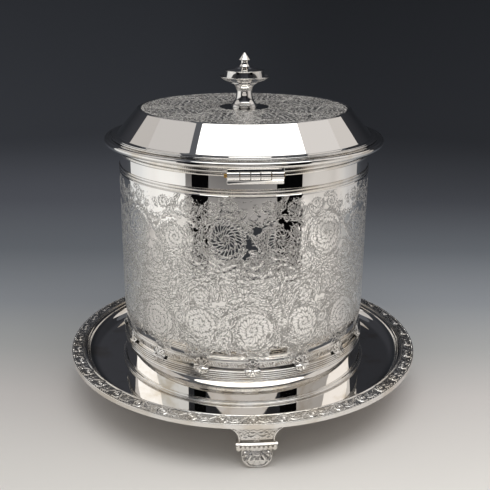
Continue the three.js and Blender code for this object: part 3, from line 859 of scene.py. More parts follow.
def border_height(turn, radius, level):
    """Running scroll with leaves, a bead row outside it and a plain bead inside it."""
    across = radius - border_inner
    on_face = level > border_top(radius) - FACE_DEPTH
    pitch = 2 * math.pi * PITCH_RADIUS / BORDER_REPEATS
    along = np.mod(turn * BORDER_REPEATS / (2 * math.pi) + 0.5, 1.0) * pitch
    middle = (RELIEF_STARTS + RELIEF_ENDS) / 2
    scale = pitch / MOTIF_PITCH
    half = (RELIEF_ENDS - RELIEF_STARTS) / 2 / scale
    u, v = (along - pitch / 2) / scale, (across - middle) / scale

    scroll = mound(curl(u, v, (-1.3, 0.1), 1.7, 1.6, 200, 1), 0.42)
    wave = np.sin(2 * math.pi * along / pitch)
    stem = mound(np.abs(v + 0.75 * half * wave), 0.38)
    leaf_turn = np.arctan2(v - 0.1, u - 2.9)
    leaf = petal(np.hypot(u - 2.9, v - 0.1), 1.35 + 0.5 * np.cos(5 * leaf_turn + 0.6))
    veins = mound(np.mod(leaf_turn * 5 / (2 * math.pi), 1.0) - 0.5, 0.22) * 0.25
    sprig = petal(np.hypot(u - 0.7, (v + 1.2) * 1.3), 0.9)
    sprig = np.maximum(sprig, petal(np.hypot(u - 5.1, (v - 1.2) * 1.3), 0.8))
    raised = np.maximum.reduce([scroll, stem * 0.7, leaf - veins * leaf, sprig * 0.8])
    inside = (across > RELIEF_STARTS) & (across < RELIEF_ENDS) & on_face
    height = np.where(inside, GROUND_DEPTH + SCROLL_RISE * raised, 0.0)

    bead_pitch = pitch / BEADS_PER_REPEAT
    bead_along = np.mod(along, bead_pitch) - bead_pitch / 2
    bead = mound(np.hypot(bead_along, across - BEAD_ROW), BEAD_RADIUS)
    bead_band = (np.abs(across - BEAD_ROW) < BEAD_RADIUS) & on_face
    height = np.where(bead_band, BEAD_GROUND + BEAD_RISE * bead, height)
    plain_bead = (across > 0.1) & (across < 0.9) & on_face
    return np.where(plain_bead, PLAIN_BEAD_RISE * mound(across - 0.5, 0.45), height)


border = turned("cast_border", border_face(), steps=BORDER_COLUMNS, ease=0.08)
carve(border, border_height)
fitted(border, "barrel", "silver_cast", soft_cast, "tray_border")

# %% [markdown]
# ## Wires
#
# Drawn wire covers every seam. It is half round, or reeded, and most of it is milled: a knurling wheel
# pressed slanting nicks into it, so it glitters instead of mirroring. The ring over the pedestal has no
# nicks, but four reeds with deep grooves between them.

# %% Helpers for wires
NICK_COLUMNS = 3
NICK_DEPTH = 0.13
WIRE_EASE = 0.05


def wire(name, back, front, bottom, top, reeds=1, nicks=0, nicked=1.0, groove=0.0):
    """A wire with a flat back and rounded reeds, parted by a groove where one is asked for. Nicks, where
    there are any, mill its lower part, up to the share of its height that nicked gives."""
    pitch = (top - bottom) / reeds
    root = front - min(pitch / 2, (front - back) * 0.6)
    outline = [(back, bottom)]
    for i in range(reeds):
        reed_middle = bottom + pitch * (i + 0.5)
        reed = arc(root, reed_middle, front - root, (pitch - groove) / 2, -90, 90, 8)
        outline += reed[1:] if i and not groove else reed
    outline.append((back, top))
    piece = turned(name, outline, steps=nicks * NICK_COLUMNS or ROUND_STEPS, ease=WIRE_EASE)
    if nicks:
        def nick_height(turn, radius, level):
            wave = 0.5 - 0.5 * np.cos(nicks * turn + 2 * math.pi * (level - bottom) / pitch)
            share = np.clip((radius - root) / (front - root), 0, 1)
            share = share * np.clip(4 * (nicked - (level - bottom) / (top - bottom)), 0, 1)
            return -NICK_DEPTH * wave**2 * share
        carve(piece, nick_height)
    return piece


def seam_wire(name, solid, back, body, finish, drop=0.0, **options):
    """A wire whose front and levels come from the solid that it stands for. A drop lowers its foot."""
    piece = wire(name, back, reach(solid), low(solid) - drop, high(solid), **options)
    return fitted(piece, body, "silver_polished", finish, solid)


# %% Lay the wire round the pedestal's foot
seam_wire("pedestal_wire", "base_wire", reach("pedestal") + SOLDER_FILM, "barrel", cast, nicks=400)

# %% [markdown]
# ## Pedestal
#
# A spun skirt lifts the drum off the tray. It rises straight, so that its wall and the tray's floor
# make a corner that mirrors the room in front. Under the ring it turns in and ends in a seat that
# the drum's bottom stands on.

# %% Spin the pedestal
PEDESTAL_SHEET = 1.2
SKIRT_FOOT = 1.0
SKIRT_SLOPE = 0.6
SKIRT_INSET = 0.45
TURN_IN_HEIGHT = 1.0
TURN_IN_WIDTH = 2.4
SEAT_WIDTH = 7
WAIST_INSET = 1.8
REED_GROOVE = 0.42

drum_radius = reach("body_shell")
waist = drum_radius - WAIST_INSET
skirt_radius = reach("pedestal") - SKIRT_INSET
seat = drum_radius - TURN_IN_WIDTH


def pedestal_face():
    """The skirt's outer face, from its foot up to the turn-in and along the seat."""
    foot = low("pedestal")
    ring_base = low("milled_ring")
    face = [(reach("pedestal"), foot), (reach("pedestal"), foot + SKIRT_FOOT)]
    face.append((skirt_radius, foot + SKIRT_FOOT + SKIRT_SLOPE))
    face.append((skirt_radius, ring_base - TURN_IN_HEIGHT))
    face += arc(seat, ring_base - TURN_IN_HEIGHT, skirt_radius - seat, TURN_IN_HEIGHT, 0, 90, 8)[1:]
    face += [(seat, high("pedestal")), (waist - SEAT_WIDTH, high("pedestal"))]
    return face


pedestal = turned("spun_pedestal", sheet(pedestal_face(), PEDESTAL_SHEET))
fitted(pedestal, "barrel", "silver_polished", plate, "pedestal")

ring_back = seat + SOLDER_FILM
seam_wire("milled_wire_ring", "milled_ring", ring_back, "barrel", cast, reeds=4, groove=REED_GROOVE)

# %% [markdown]
# ## Waist band and rosettes
#
# Round the waist, over the milled ring, runs a band of little leaves between a groove and a fine bead.
# Sixteen small cast flowers are soldered on it. Each has seven veined leaves, a smaller row of petals
# between them and a domed heart, and one of them is in line with the hinge. The band and its flowers
# are one soldered piece.

# %% Helpers for joined pieces
def joined(name, pieces):
    """One piece out of several, with its place kept in the mesh."""
    choose(pieces[0])
    for piece in pieces:
        piece.select_set(True)
    bpy.ops.object.join()
    whole = bpy.context.object
    whole.name = name
    whole.data.name = name
    return whole


def placed(piece, matrix):
    """Moves the mesh of a piece and leaves its origin on the barrel's axis."""
    piece.data.transform(matrix)
    piece.data.update()
    return piece


# %% Turn the band and set the flowers
BAND_GROOVE = 1.5
BAND_BEAD = 1.0
BAND_LEAVES = 256
LEAF_SWAYS = 48
ROSETTES = 16
ROSETTE_RADIUS = 5.0
ROSETTE_RINGS = 14
ROSETTE_SPOKES = 60
LEAVES = 7
FLOWER_RISE = 0.75
FLOWER_LIFT = 1.3
FLOWER_SHEET = 0.12
FLOWER_SKIRT = 0.3
RING_STEP = 1.4
BAND_THICKNESS = 0.95
BAND_ROOT = 0.3

band_low, band_high = low("waist_band"), high("waist_band")
band_front = waist + BAND_THICKNESS
rosette_level = (low("milled_ring") + band_high) / 2 + FLOWER_LIFT


def flower_height(u, v):
    """Height of the flower over its back, with pointed leaves, their veins and a heart."""
    angle = np.arctan2(u, v)
    distance = np.hypot(u, v) / ROSETTE_RADIUS
    lobe = np.abs(np.cos(LEAVES / 2 * angle))
    outer = petal(distance, 0.62 + 0.38 * lobe**2, 0.4)
    vein = mound(np.mod(LEAVES * angle / (2 * math.pi) + 0.5, 1.0) - 0.5, 0.12)
    vein = vein * np.clip(distance * 2, 0, 1)
    inner = petal(distance, 0.34 + 0.12 * np.abs(np.sin(LEAVES / 2 * angle)))
    heart = mound(distance, 0.16)
    return FLOWER_RISE * (outer - 0.5 * vein + 0.5 * inner + 0.3 * heart)


def flower_stand(level):
    """Radius that the flower's back keeps: on the band above, over the milled ring below."""
    over_ring = reach("milled_ring") + SOLDER_FILM
    share = np.clip((level - high("milled_ring")) / RING_STEP, 0, 1)
    return over_ring + (band_front - 0.1 - over_ring) * np.sin(share * math.pi / 2)


def flower(index):
    """One cast flower: a spun disc with a short skirt, raised in relief and set on the waist."""
    rings = [(r * MM, 0) for r in np.linspace(0, ROSETTE_RADIUS, ROSETTE_RINGS)]
    skirt = (ROSETTE_RADIUS * MM, -FLOWER_SKIRT * MM)
    piece = spun(drawn_line("flower", rings + [skirt]), ROSETTE_SPOKES)
    u, v, back = (points_of(piece.data) / MM).T
    on_face = back > -0.01
    level = v + rosette_level
    stand = flower_stand(level) + np.where(on_face, FLOWER_SHEET + flower_height(u, v), 0.0)
    turn = u / stand + 2 * math.pi * index / ROSETTES
    move_points(piece.data, np.stack([stand * np.sin(turn), -stand * np.cos(turn), level], 1))
    turn_outward(merge=False)
    bpy.ops.object.shade_smooth()
    return piece


def band_face():
    """A deep groove at the foot, a flat face for the little leaves and a thin bead at the top."""
    back = waist + SOLDER_FILM
    root = waist + BAND_ROOT
    leaf_low, leaf_high = band_low + BAND_GROOVE, band_high - BAND_BEAD
    face = [(back, band_low), (root, band_low), (root, leaf_low - 0.3), (band_front - 0.2, leaf_low)]
    face += [(band_front - 0.15, z) for z in np.linspace(leaf_low + 0.2, leaf_high - 0.2, 7)]
    bead_root, bead_middle = root + 0.3, band_high - BAND_BEAD / 2
    face.append((bead_root, leaf_high))
    face += arc(bead_root, bead_middle, band_front - bead_root, BAND_BEAD / 2, -90, 90, 6)[1:]
    face.append((back, band_high))
    return face


def leaf_patches(turn, radius, level):
    """Little overlapping leaves along the flat of the band."""
    across = (level - band_low - BAND_GROOVE) / (band_high - BAND_BEAD - band_low - BAND_GROOVE)
    inside = (across > 0.02) & (across < 0.98) & (radius > waist + 0.5)
    sway = 1.4 * np.sin(LEAF_SWAYS * turn + 2 * across)
    ridge = np.abs(np.sin(BAND_LEAVES / 2 * turn + 1.6 * across + sway))
    ripple = np.abs(np.sin(BAND_LEAVES * turn - 5.0 * across - sway))
    return np.where(inside, -0.22 * (1 - ridge) ** 1.5 - 0.14 * (1 - ripple) ** 2, 0.0)


band_ring = turned("chased_waist_band", band_face(), steps=BAND_LEAVES * 8, ease=0.04)
carve(band_ring, leaf_patches)
band = joined("chased_waist_band", [band_ring] + [flower(i) for i in range(ROSETTES)])
fitted(band, "barrel", "silver_chased", cast, "waist_band")

# %% [markdown]
# ## Chasing
#
# The wall and the lid's disc are worked all over with scrolls. The chaser first draws spiral roses,
# wreathes them with curled leaves and fills what is left with small scrolls and leaves, then mats the
# raised parts with fine cuts and leaves the ground polished. So the ground mirrors the studio while the
# ornament stays a soft grey, which makes it light on black reflections and dark on white ones.
#
# Here the layout is worked out in millimetres on the unrolled wall. Each point of the mesh learns its
# place inside the nearest rose and the nearest leaf, and the finish cuts petals and veins from that.

# %% Lay out roses and leaves
CHASING_SEED = 11
LEAF_SPACING = 2.7
LEAF_ROW_SHARE = 0.85
LEAF_SCATTER = 1.2
LEAF_LENGTH = 5.6
LEAF_HALF_WIDTH = 1.6
LEAF_SWEEP = 1.35
LEAF_TURN = 0.5
LENGTH_RANGE = (0.7, 1.15)
WIDTH_RANGE = (0.7, 1.1)
BEND_RANGE = (0.02, 0.12)
WREATH_GAP = 0.2
WREATH_SWEEP = 1.0
WREATH_BEND = 0.09
ROSE_OVERLAP = 0.3
LEAST_WORKED = 0.16
LEAF_CHANCE = (0.05, 0.3)
FAR_AWAY = 1e3


class Layout:
    """Roses and leaves on a flat strip that repeats along its length."""

    def __init__(self, period, roses):
        self.period = period
        self.roses = [np.array(rose, float) for rose in roses]
        self.leaves = []

    def offset(self, u, centre_u):
        """Distance along the strip from a centre, by the shorter way round."""
        return np.mod(u - centre_u + self.period / 2, self.period) - self.period / 2

    def nearest_rose(self, u, v):
        """Offset from the centre of the rose that a point is most inside, with its size and hand."""
        best = np.full(np.shape(u), FAR_AWAY)
        found = np.zeros((4, *np.shape(u)))
        for centre_u, centre_v, size, hand in self.roses:
            du, dv = self.offset(u, centre_u), v - centre_v
            gap = np.hypot(du, dv) - size
            inside = gap < best
            best = np.where(inside, gap, best)
            here = [du, dv, np.full(np.shape(u), size), np.full(np.shape(u), hand)]
            found = np.where(inside, np.array(here), found)
        return best, found

    def add_wreath(self, rose, count, length, half_width):
        """Leaves that sprout from a rose's edge and sweep round it."""
        centre_u, centre_v, size, hand = rose
        for angle in np.linspace(0, 2 * math.pi, count, endpoint=False):
            base_u = centre_u + (size + WREATH_GAP) * math.cos(angle)
            base_v = centre_v + (size + WREATH_GAP) * math.sin(angle)
            heading = angle + hand * WREATH_SWEEP
            self.leaves.append((base_u, base_v, heading, length, half_width, hand * WREATH_BEND))

    def fill_with_leaves(self, low_v, high_v, worked_share, rng):
        """Leaves scattered where there is room, lying round the nearest rose like water round a stone."""
        for v in np.arange(low_v, high_v, LEAF_SPACING * LEAF_ROW_SHARE):
            for u in np.arange(-self.period / 2, self.period / 2, LEAF_SPACING):
                pu = u + rng.uniform(-LEAF_SCATTER, LEAF_SCATTER)
                pv = v + rng.uniform(-LEAF_SCATTER, LEAF_SCATTER)
                gap, (du, dv, _, hand) = self.nearest_rose(pu, pv)
                if gap < -ROSE_OVERLAP or worked_share(pu, pv) < rng.uniform(*LEAF_CHANCE):
                    continue
                heading = math.atan2(dv, du) + hand * LEAF_SWEEP + rng.uniform(-LEAF_TURN, LEAF_TURN)
                length = LEAF_LENGTH * rng.uniform(*LENGTH_RANGE)
                bend = hand * rng.uniform(*BEND_RANGE)
                half_width = LEAF_HALF_WIDTH * rng.uniform(*WIDTH_RANGE)
                self.leaves.append((pu, pv, heading, length, half_width, bend))

    def nearest_leaf(self, u, v):
        """Place along and across the leaf that a point is most inside, and the leaf's half width there."""
        best = np.full(u.shape, -FAR_AWAY)
        found = np.zeros((3, *u.shape))
        for base_u, base_v, heading, length, half_width, bend in self.leaves:
            du, dv = self.offset(u, base_u), v - base_v
            near = np.hypot(du, dv) < length * 1.2
            along = du[near] * math.cos(heading) + dv[near] * math.sin(heading)
            across = -du[near] * math.sin(heading) + dv[near] * math.cos(heading) - bend * along**2
            share = np.clip(along / length, 0, 1)
            width = half_width * np.sin(math.pi * share**0.7) ** 0.8 + 1e-3
            depth = np.where((along > 0) & (along < length), 1 - np.abs(across) / width, -1)
            better = depth > best[near]
            places = np.flatnonzero(near)[better]
            best[places] = depth[better]
            found[:, places] = np.array([along, across, width])[:, better]
        found[2][best < -0.5] = 0.0
        return best, found


# %% Helper that marks a piece with its chasing
ROSE_DOME = 0.06
ROSE_DOME_EDGE = 1.2
LEAF_DOME = 0.06
ROSE_MARGIN = 2.5


def chase(piece, layout, unroll, low_v, high_v, on_face, worked_share):
    """Stores each point's place in its rose and leaf, and raises both by a low dome."""
    mesh = piece.data
    place = points_of(mesh) / MM
    u, v = unroll(place)
    worked_part = on_face(place) & (v > low_v) & (v < high_v)
    folded = np.round(np.stack([np.mod(u[worked_part], layout.period), v[worked_part]], 1), 3)
    points, back_to_all = np.unique(folded, axis=0, return_inverse=True)
    back_to_all = back_to_all.ravel()
    gap, rose = layout.nearest_rose(points[:, 0], points[:, 1])
    rose[2] = np.where(gap > ROSE_MARGIN, 0.0, rose[2])
    depth, leaf = layout.nearest_leaf(points[:, 0], points[:, 1])
    rose_rise = ROSE_DOME * np.clip(-gap / ROSE_DOME_EDGE, 0, 1)
    leaf_rise = LEAF_DOME * np.clip(depth * 2, 0, 1)

    def to_all(values):
        """Hands values of the worked part's points to all points, with 0 on the rest."""
        spread = np.zeros((len(place), *values.shape[1:]))
        spread[worked_part] = values[back_to_all]
        return spread

    rose_place, leaf_place, hand = to_all(rose[:3].T), to_all(leaf.T), to_all(rose[3])
    raised = to_all(np.maximum(rose_rise, leaf_rise))
    for name, values in (("rose", rose_place), ("leaf", leaf_place)):
        layer = mesh.attributes.new(name, "FLOAT_VECTOR", "POINT")
        layer.data.foreach_set("vector", values.ravel())
    mesh.attributes.new("hand", "FLOAT", "POINT").data.foreach_set("value", hand)
    matting = np.where(worked_part, worked_share(layout.offset(u, 0), v), 0.0)
    mesh.attributes.new("matting", "FLOAT", "POINT").data.foreach_set("value", matting)
    carve(piece, lambda turn, radius, level: raised)
    print(piece.name, len(layout.roses), "roses and", len(layout.leaves), "leaves in a repeat")


# %% [markdown]
# ## Chased silver
#
# The chaser's cuts are narrow, mostly between half a millimetre and one wide, and each has one side that
# looks up at the lamp and one that looks down at the table. So the ornament is light on black
# reflections and grey on white ones. The scrolls are cut turn by turn, with small leaves along each
# turn, and every scroll and leaf has a cut outline that swells and fades. What lies between them is
# filled with little curls that follow the level lines of a slow noise. Tarnish stays in the cuts.

# %% Make the chased finish
SCROLL_PITCH = 2.5
SCROLL_GROWTH = 0.09
SCROLL_OPENS = 0.34
LEAVES_PER_RING = 7
VEIN_PITCH = 2.3
CURL_PITCH = 5.0
CURL_LINES = 2.3
CUT_SHARE = 0.24
TURN_SHARE = 0.3
TURN_STAIN = 0.24
CUT_STAIN = 0.5
GROUND_POLISH = 0.05
OUTLINE_HALF_WIDTH = 0.26
OUTLINE_STAIN = 0.4
ORNAMENT_RISE = 0.08
GROUND_ROUGHNESS = 0.015
SHIVER_PITCH = 2.4
SHIVER = 0.8
TREMBLE_PITCH = 0.9
TREMBLE = 0.35
SWAY_PITCH = 6.0
SCROLL_SWAY = 5.0
EDGE_SWAY = 2.6
SCALLOP = 0.9
SIDE_VEINS = 1.2
VEIN_SLANT = -0.8
TOOTH_TURN = 3.6
TOOTH_HEIGHT = 0.16
SWELL_PITCH = 3.1
UNEVEN_PITCH = 1.2


def cut_lines(tree, phase, share):
    """1 in a cut and 0 between cuts, for a phase that counts the lines."""
    part = worked(tree, "FRACT", phase)
    off = worked(tree, "ABSOLUTE", worked(tree, "SUBTRACT", part, 0.5))
    return between(tree, off, 0.5 - share / 2, 0.5 - share / 8)


def chased_silver(
    name,
    coarse=1.0,
    depth=0.18,
    matt_cuts=0.45,
    dark=CUT_STAIN,
    share=CUT_SHARE,
    rough=0.012,
    outlined=OUTLINE_STAIN,
):
    """Polished plate with frosted cuts. coarse widens the cuts, depth is how deep they are, matt_cuts is
    their roughness and share is how much of a line's pitch they take. dark and outlined are how far
    tarnish fills cuts and outlines. rough is the unevenness of all that is worked."""
    material, tree, shader = blank_material(name)
    place = in_millimetres(tree)

    def attribute(layer):
        return add_node(tree, "ShaderNodeAttribute", {"attribute_name": layer})

    def times(first, second):
        return worked(tree, "MULTIPLY", first, second)

    def stronger(first, second):
        return worked(tree, "MAXIMUM", first, second)

    def blended(portion, first, second):
        return add_node(tree, "ShaderNodeMix", None, {0: portion, 2: first, 3: second}).outputs[0]

    def centred_cloud(pitch, detail=1.0):
        return worked(tree, "SUBTRACT", cloud(tree, place, pitch, detail=detail), 0.5)

    def outline(edge):
        away = worked(tree, "ABSOLUTE", worked(tree, "ADD", edge, line_half))
        return between(tree, away, line_half, line_half * 0.4)

    line_half = OUTLINE_HALF_WIDTH * coarse
    rose = add_node(tree, "ShaderNodeSeparateXYZ", None, {0: attribute("rose").outputs["Vector"]}).outputs
    leaf = add_node(tree, "ShaderNodeSeparateXYZ", None, {0: attribute("leaf").outputs["Vector"]}).outputs
    hand = attribute("hand").outputs["Fac"]
    matting = attribute("matting").outputs["Fac"]
    shiver = centred_cloud(SHIVER_PITCH, detail=3.0)
    tremble = centred_cloud(TREMBLE_PITCH)
    sway = centred_cloud(SWAY_PITCH)

    # The scrolls: a spiral line, scalloped by the leaves along it.
    squared = worked(tree, "ADD", times(rose[0], rose[0]), times(rose[1], rose[1]))
    true_distance = worked(tree, "MULTIPLY_ADD", shiver, SHIVER, worked(tree, "SQRT", squared))
    distance = worked(tree, "MULTIPLY_ADD", sway, SCROLL_SWAY, true_distance)
    swung = times(worked(tree, "ARCTAN2", rose[1], rose[0]), hand)
    lap = times(swung, 0.5 / math.pi)
    pitch = worked(tree, "MULTIPLY_ADD", rose[2], SCROLL_GROWTH, SCROLL_PITCH)
    rings = worked(tree, "ADD", worked(tree, "DIVIDE", distance, pitch), lap)
    leaves_round = times(worked(tree, "ADD", worked(tree, "FLOOR", rings), 1.0), LEAVES_PER_RING)
    leaf_phase = worked(tree, "MULTIPLY_ADD", worked(tree, "FRACT", rings), 0.9, times(lap, leaves_round))
    lobe = worked(tree, "ABSOLUTE", worked(tree, "SINE", times(leaf_phase, math.pi)))
    turns = cut_lines(tree, worked(tree, "MULTIPLY_ADD", lobe, 0.3, rings), TURN_SHARE)
    turns = times(turns, between(tree, shiver, -0.34, -0.2))
    side_veins = worked(tree, "MULTIPLY_ADD", tremble, TREMBLE, times(leaf_phase, SIDE_VEINS / coarse))
    rose_cuts = stronger(turns, times(cut_lines(tree, side_veins, share), 0.75))
    opening = worked(tree, "FRACT", worked(tree, "MULTIPLY_ADD", rose[2], 0.37, lap))
    open_reach = worked(tree, "MULTIPLY_ADD", opening, -SCROLL_OPENS, 1.08)
    edge = worked(tree, "SUBTRACT", times(rose[2], open_reach), true_distance)
    edge = worked(tree, "MULTIPLY_ADD", sway, EDGE_SWAY, edge)
    rose_edge = worked(tree, "MULTIPLY_ADD", lobe, SCALLOP, edge)
    has_rose = between(tree, rose[2], 0.5, 1.5)
    in_rose = times(between(tree, rose_edge, -0.1, 0.3), has_rose)
    rose_outline = times(outline(rose_edge), has_rose)

    # The leaves: a midrib, slanting veins, a cut outline and a toothed edge.
    spread = worked(tree, "ABSOLUTE", leaf[1])
    slanted = worked(tree, "MULTIPLY_ADD", spread, VEIN_SLANT, leaf[0])
    veins = times(slanted, 1 / (VEIN_PITCH * coarse))
    leaf_cuts = cut_lines(tree, worked(tree, "MULTIPLY_ADD", tremble, TREMBLE, veins), share)
    leaf_cuts = stronger(leaf_cuts, between(tree, spread, 0.3, 0.1))
    teeth = worked(tree, "SINE", times(leaf[0], TOOTH_TURN))
    toothed = worked(tree, "MULTIPLY_ADD", teeth, TOOTH_HEIGHT, leaf[2])
    leaf_edge = worked(tree, "SUBTRACT", toothed, spread)
    has_leaf = between(tree, leaf[2], 0.1, 0.3)
    in_leaf = times(between(tree, leaf_edge, 0.1, 0.4), has_leaf)
    leaf_outline = times(outline(leaf_edge), has_leaf)
    leaf_outline = times(leaf_outline, between(tree, in_rose, 0.6, 0.2))

    # The curls that fill the ground.
    levels = times(cloud(tree, place, CURL_PITCH * coarse, detail=1.0), CURL_LINES)
    wandering = worked(tree, "MULTIPLY_ADD", tremble, 0.25, levels)
    curls = times(cut_lines(tree, wandering, share), matting)

    # All cuts together, with the outlines that swell and fade.
    ornament = stronger(in_rose, in_leaf)
    cuts = blended(ornament, curls, blended(in_rose, leaf_cuts, rose_cuts))
    swelling = between(tree, cloud(tree, place, SWELL_PITCH, detail=1.0), 0.38, 0.52)
    outlines = times(stronger(rose_outline, leaf_outline), swelling)
    cuts = stronger(cuts, outlines)
    all_worked = stronger(ornament, matting)

    # The tarnish, the frosting and the depth of the cuts.
    turn_lines = times(between(tree, turns, 0.5, 0.9), times(in_rose, TURN_STAIN))
    stain = stronger(turn_lines, times(outlines, outlined))
    stain = stronger(stain, times(between(tree, cuts, 0.6, 1.0), dark))
    frosted = between(tree, cuts, 0.0, 1.0, GROUND_POLISH, matt_cuts)
    roughness = blended(all_worked, GROUND_ROUGHNESS, frosted)
    waver = cloud(tree, place, WAVER_PITCH, detail=1.0)
    uneven = cloud(tree, place, UNEVEN_PITCH * coarse, detail=1.0)
    height = worked(tree, "MULTIPLY_ADD", waver, WAVER_DEPTH, times(ornament, ORNAMENT_RISE))
    height = worked(tree, "MULTIPLY_ADD", cuts, -depth, height)
    height = worked(tree, "MULTIPLY_ADD", times(uneven, all_worked), rough, height)
    finish_metal(tree, shader, mixed(tree, stain, SILVER, TARNISH), roughness, height)
    return material


chased = chased_silver("chased silver plate")
engraved = chased_silver(
    "engraved silver plate",
    coarse=2.0,
    depth=1.1,
    matt_cuts=1.0,
    dark=0.0,
    share=0.4,
    rough=0.32,
    outlined=0.85,
)
print("finishes", chased.name, engraved.name)

# %% [markdown]
# ## Drum
#
# The drum is a spun cylinder, drawn in a little at the waist and stepped in at the neck. Its wall is
# worked from the waist to the shoulder with scrolls and roses.

# %% Spin the drum
DRUM_SHEET = 1.0
NECK_INSET = 0.55
WAIST_CURVE = 14
CHASING_ROW = 0.75
DRUM_COLUMNS = 672

drum_base, drum_top = low("body_shell"), high("body_shell")
shoulder = low("shoulder_wire") - NECK_INSET - SOLDER_FILM
neck = drum_radius - NECK_INSET


def drum_profile(level):
    """Radius of the drum's wall between the waist band and the shoulder."""
    share = np.clip((level - band_high) / WAIST_CURVE, 0, 1)
    return waist + WAIST_INSET * np.sin(share * math.pi / 2)


def drum_outline():
    """Fine rows on the wall, which is chased, and few on the inside."""
    rows = np.linspace(band_high, shoulder, int((shoulder - band_high) / CHASING_ROW) + 1)
    face = [(waist, drum_base)] + [(drum_profile(row), row) for row in rows]
    face += [(neck, shoulder + NECK_INSET), (neck, drum_top)]
    coarse = [(waist, drum_base), (waist, band_high)]
    coarse += [(drum_profile(row), row) for row in np.linspace(band_high, band_high + WAIST_CURVE, 5)[1:]]
    coarse += [(drum_radius, shoulder), (neck, shoulder + NECK_INSET), (neck, drum_top)]
    return face + beside(coarse, DRUM_SHEET)[::-1]


drum = turned("chased_drum", drum_outline(), steps=DRUM_COLUMNS)

# %% [markdown]
# The pattern repeats eight times round the drum, and a waist flower stands under the middle of each
# repeat. Places are millimetres along the wall from that middle, and levels above the table.

# %% Chase the drum
DRUM_REPEATS = 8
TOP_MARGIN = 1.6
CROWDED_BELOW = 104.0
SPARSE_ABOVE = 114.0
SPARSE_SHARE = 0.18
RAGGED_EDGE = 3.0
RAGGED_TURN = 0.9
WREATHS = (15, 11, 14, 13)
WREATH_LEAF = (5.6, 1.7)

# Where the ground stays plain between leaves: middle, half width and half height of an ellipse.
PLAIN_PATCHES = [
    (-15.6, 52.6, 11.5, 5.6),
    (15.6, 52.6, 11.5, 5.6),
    (-3.8, 118.5, 3.6, 7.0),
    (15.5, 132.8, 5.6, 3.2),
    (4.0, 139.0, 3.4, 4.2),
]

drum_period = 2 * math.pi * drum_radius / DRUM_REPEATS
half_repeat = drum_period / 2

# The scrolls of a repeat, with their middle, radius and hand: four large ones, then small ones.
drum_roses = [
    (-16.3, 124.2, 11.6, 1),
    (15.2, 123.0, 7.2, -1),
    (0.0, 68.4, 10.8, 1),
    (half_repeat, 71.2, 9.4, -1),
    (-13.2, 142.6, 3.8, -1),
    (-24.6, 142.4, 3.0, 1),
    (7.6, 142.2, 3.2, 1),
    (22.4, 141.6, 3.4, -1),
    (half_repeat, 111.0, 3.6, -1),
    (half_repeat, 88.2, 3.8, 1),
    (0.0, 109.2, 2.6, 1),
    (17.4, 73.4, 3.3, 1),
    (-17.6, 72.2, 3.1, -1),
]


def unroll_drum(place):
    """Millimetres along the wall from the front, and levels."""
    turn = np.arctan2(place[:, 0], -place[:, 1])
    return turn * drum_radius, place[:, 2]


def drum_worked(u, v):
    """Share of the wall that the chaser worked: not the ragged top edge, nor the plain patches."""
    share = np.clip(shoulder - TOP_MARGIN - RAGGED_EDGE * np.cos(RAGGED_TURN * u) ** 2 - v, 0, 1)
    for patch_u, patch_v, patch_wide, patch_high in PLAIN_PATCHES:
        away = np.hypot((u - patch_u) / patch_wide, (v - patch_v) / patch_high)
        share = share * np.clip((away - 0.8) * 3, 0, 1)
    crowding = np.interp(v, (CROWDED_BELOW, SPARSE_ABOVE), (1.0, SPARSE_SHARE))
    return share * crowding


drum_layout = Layout(drum_period, drum_roses)
for rose, count in zip(drum_roses, WREATHS):
    drum_layout.add_wreath(rose, count, *WREATH_LEAF)
drum_layout.leaves = [leaf for leaf in drum_layout.leaves if drum_worked(leaf[0], leaf[1]) > LEAST_WORKED]
drum_layout.fill_with_leaves(band_high + 1.0, shoulder, drum_worked, np.random.default_rng(CHASING_SEED))
chase(
    drum,
    drum_layout,
    unroll_drum,
    band_high + 0.6,
    shoulder - 0.4,
    lambda place: np.hypot(place[:, 0], place[:, 1]) > drum_profile(place[:, 2]) - 0.3,
    drum_worked,
)
fitted(drum, "barrel", "silver_chased", chased, "body_shell")

# %% Set in the bottom, its stud and the wires of the drum
BOTTOM_SHEET = 1.2
FLANGE_HEIGHT = 1.2
NECK_NICKS = 420

bottom_high = high("body_bottom")
bottom_face = [(reach("body_bottom"), low("body_bottom")), (reach("body_bottom"), bottom_high)]
bottom_line = bottom_face + [(0, bottom_high)]
bottom_back = beside(bottom_line, BOTTOM_SHEET)
bottom = turned("drum_bottom", [(0, bottom_high)] + bottom_line[1::-1] + bottom_back, ease=0.3)
fitted(bottom, "barrel", "silver_inside", satin, "body_bottom")

stud_high, stud_low = high("stand_stud"), low("stand_stud")
stud = turned(
    "drum_stud",
    [
        (0, stud_high),
        (reach("stand_stud"), stud_high),
        (reach("stand_stud"), stud_high - FLANGE_HEIGHT),
        (STUD_RADIUS, stud_high - FLANGE_HEIGHT),
        (STUD_RADIUS, stud_low + 0.5),
        (STUD_RADIUS - 0.5, stud_low),
        (0, stud_low),
    ],
    steps=SMALL_STEPS,
)
fitted(stud, "barrel", "brass", brass, "stand_stud")

neck_back = neck + SOLDER_FILM
seam_wire("shoulder_reed", "shoulder_wire", neck_back, "barrel", cast, reeds=2, nicks=NECK_NICKS)
seam_wire("drum_mouth_wire", "mouth_wire", neck_back, "barrel", cast, nicks=NECK_NICKS)

# %% [markdown]
# ## Lid
#
# The lid is two spinnings: a flared collar and the cover over it. From the rim the cover rises over a
# narrow ledge and a low drum, steps in under the crown wire and rises as a cone to its flat, engraved
# disc.

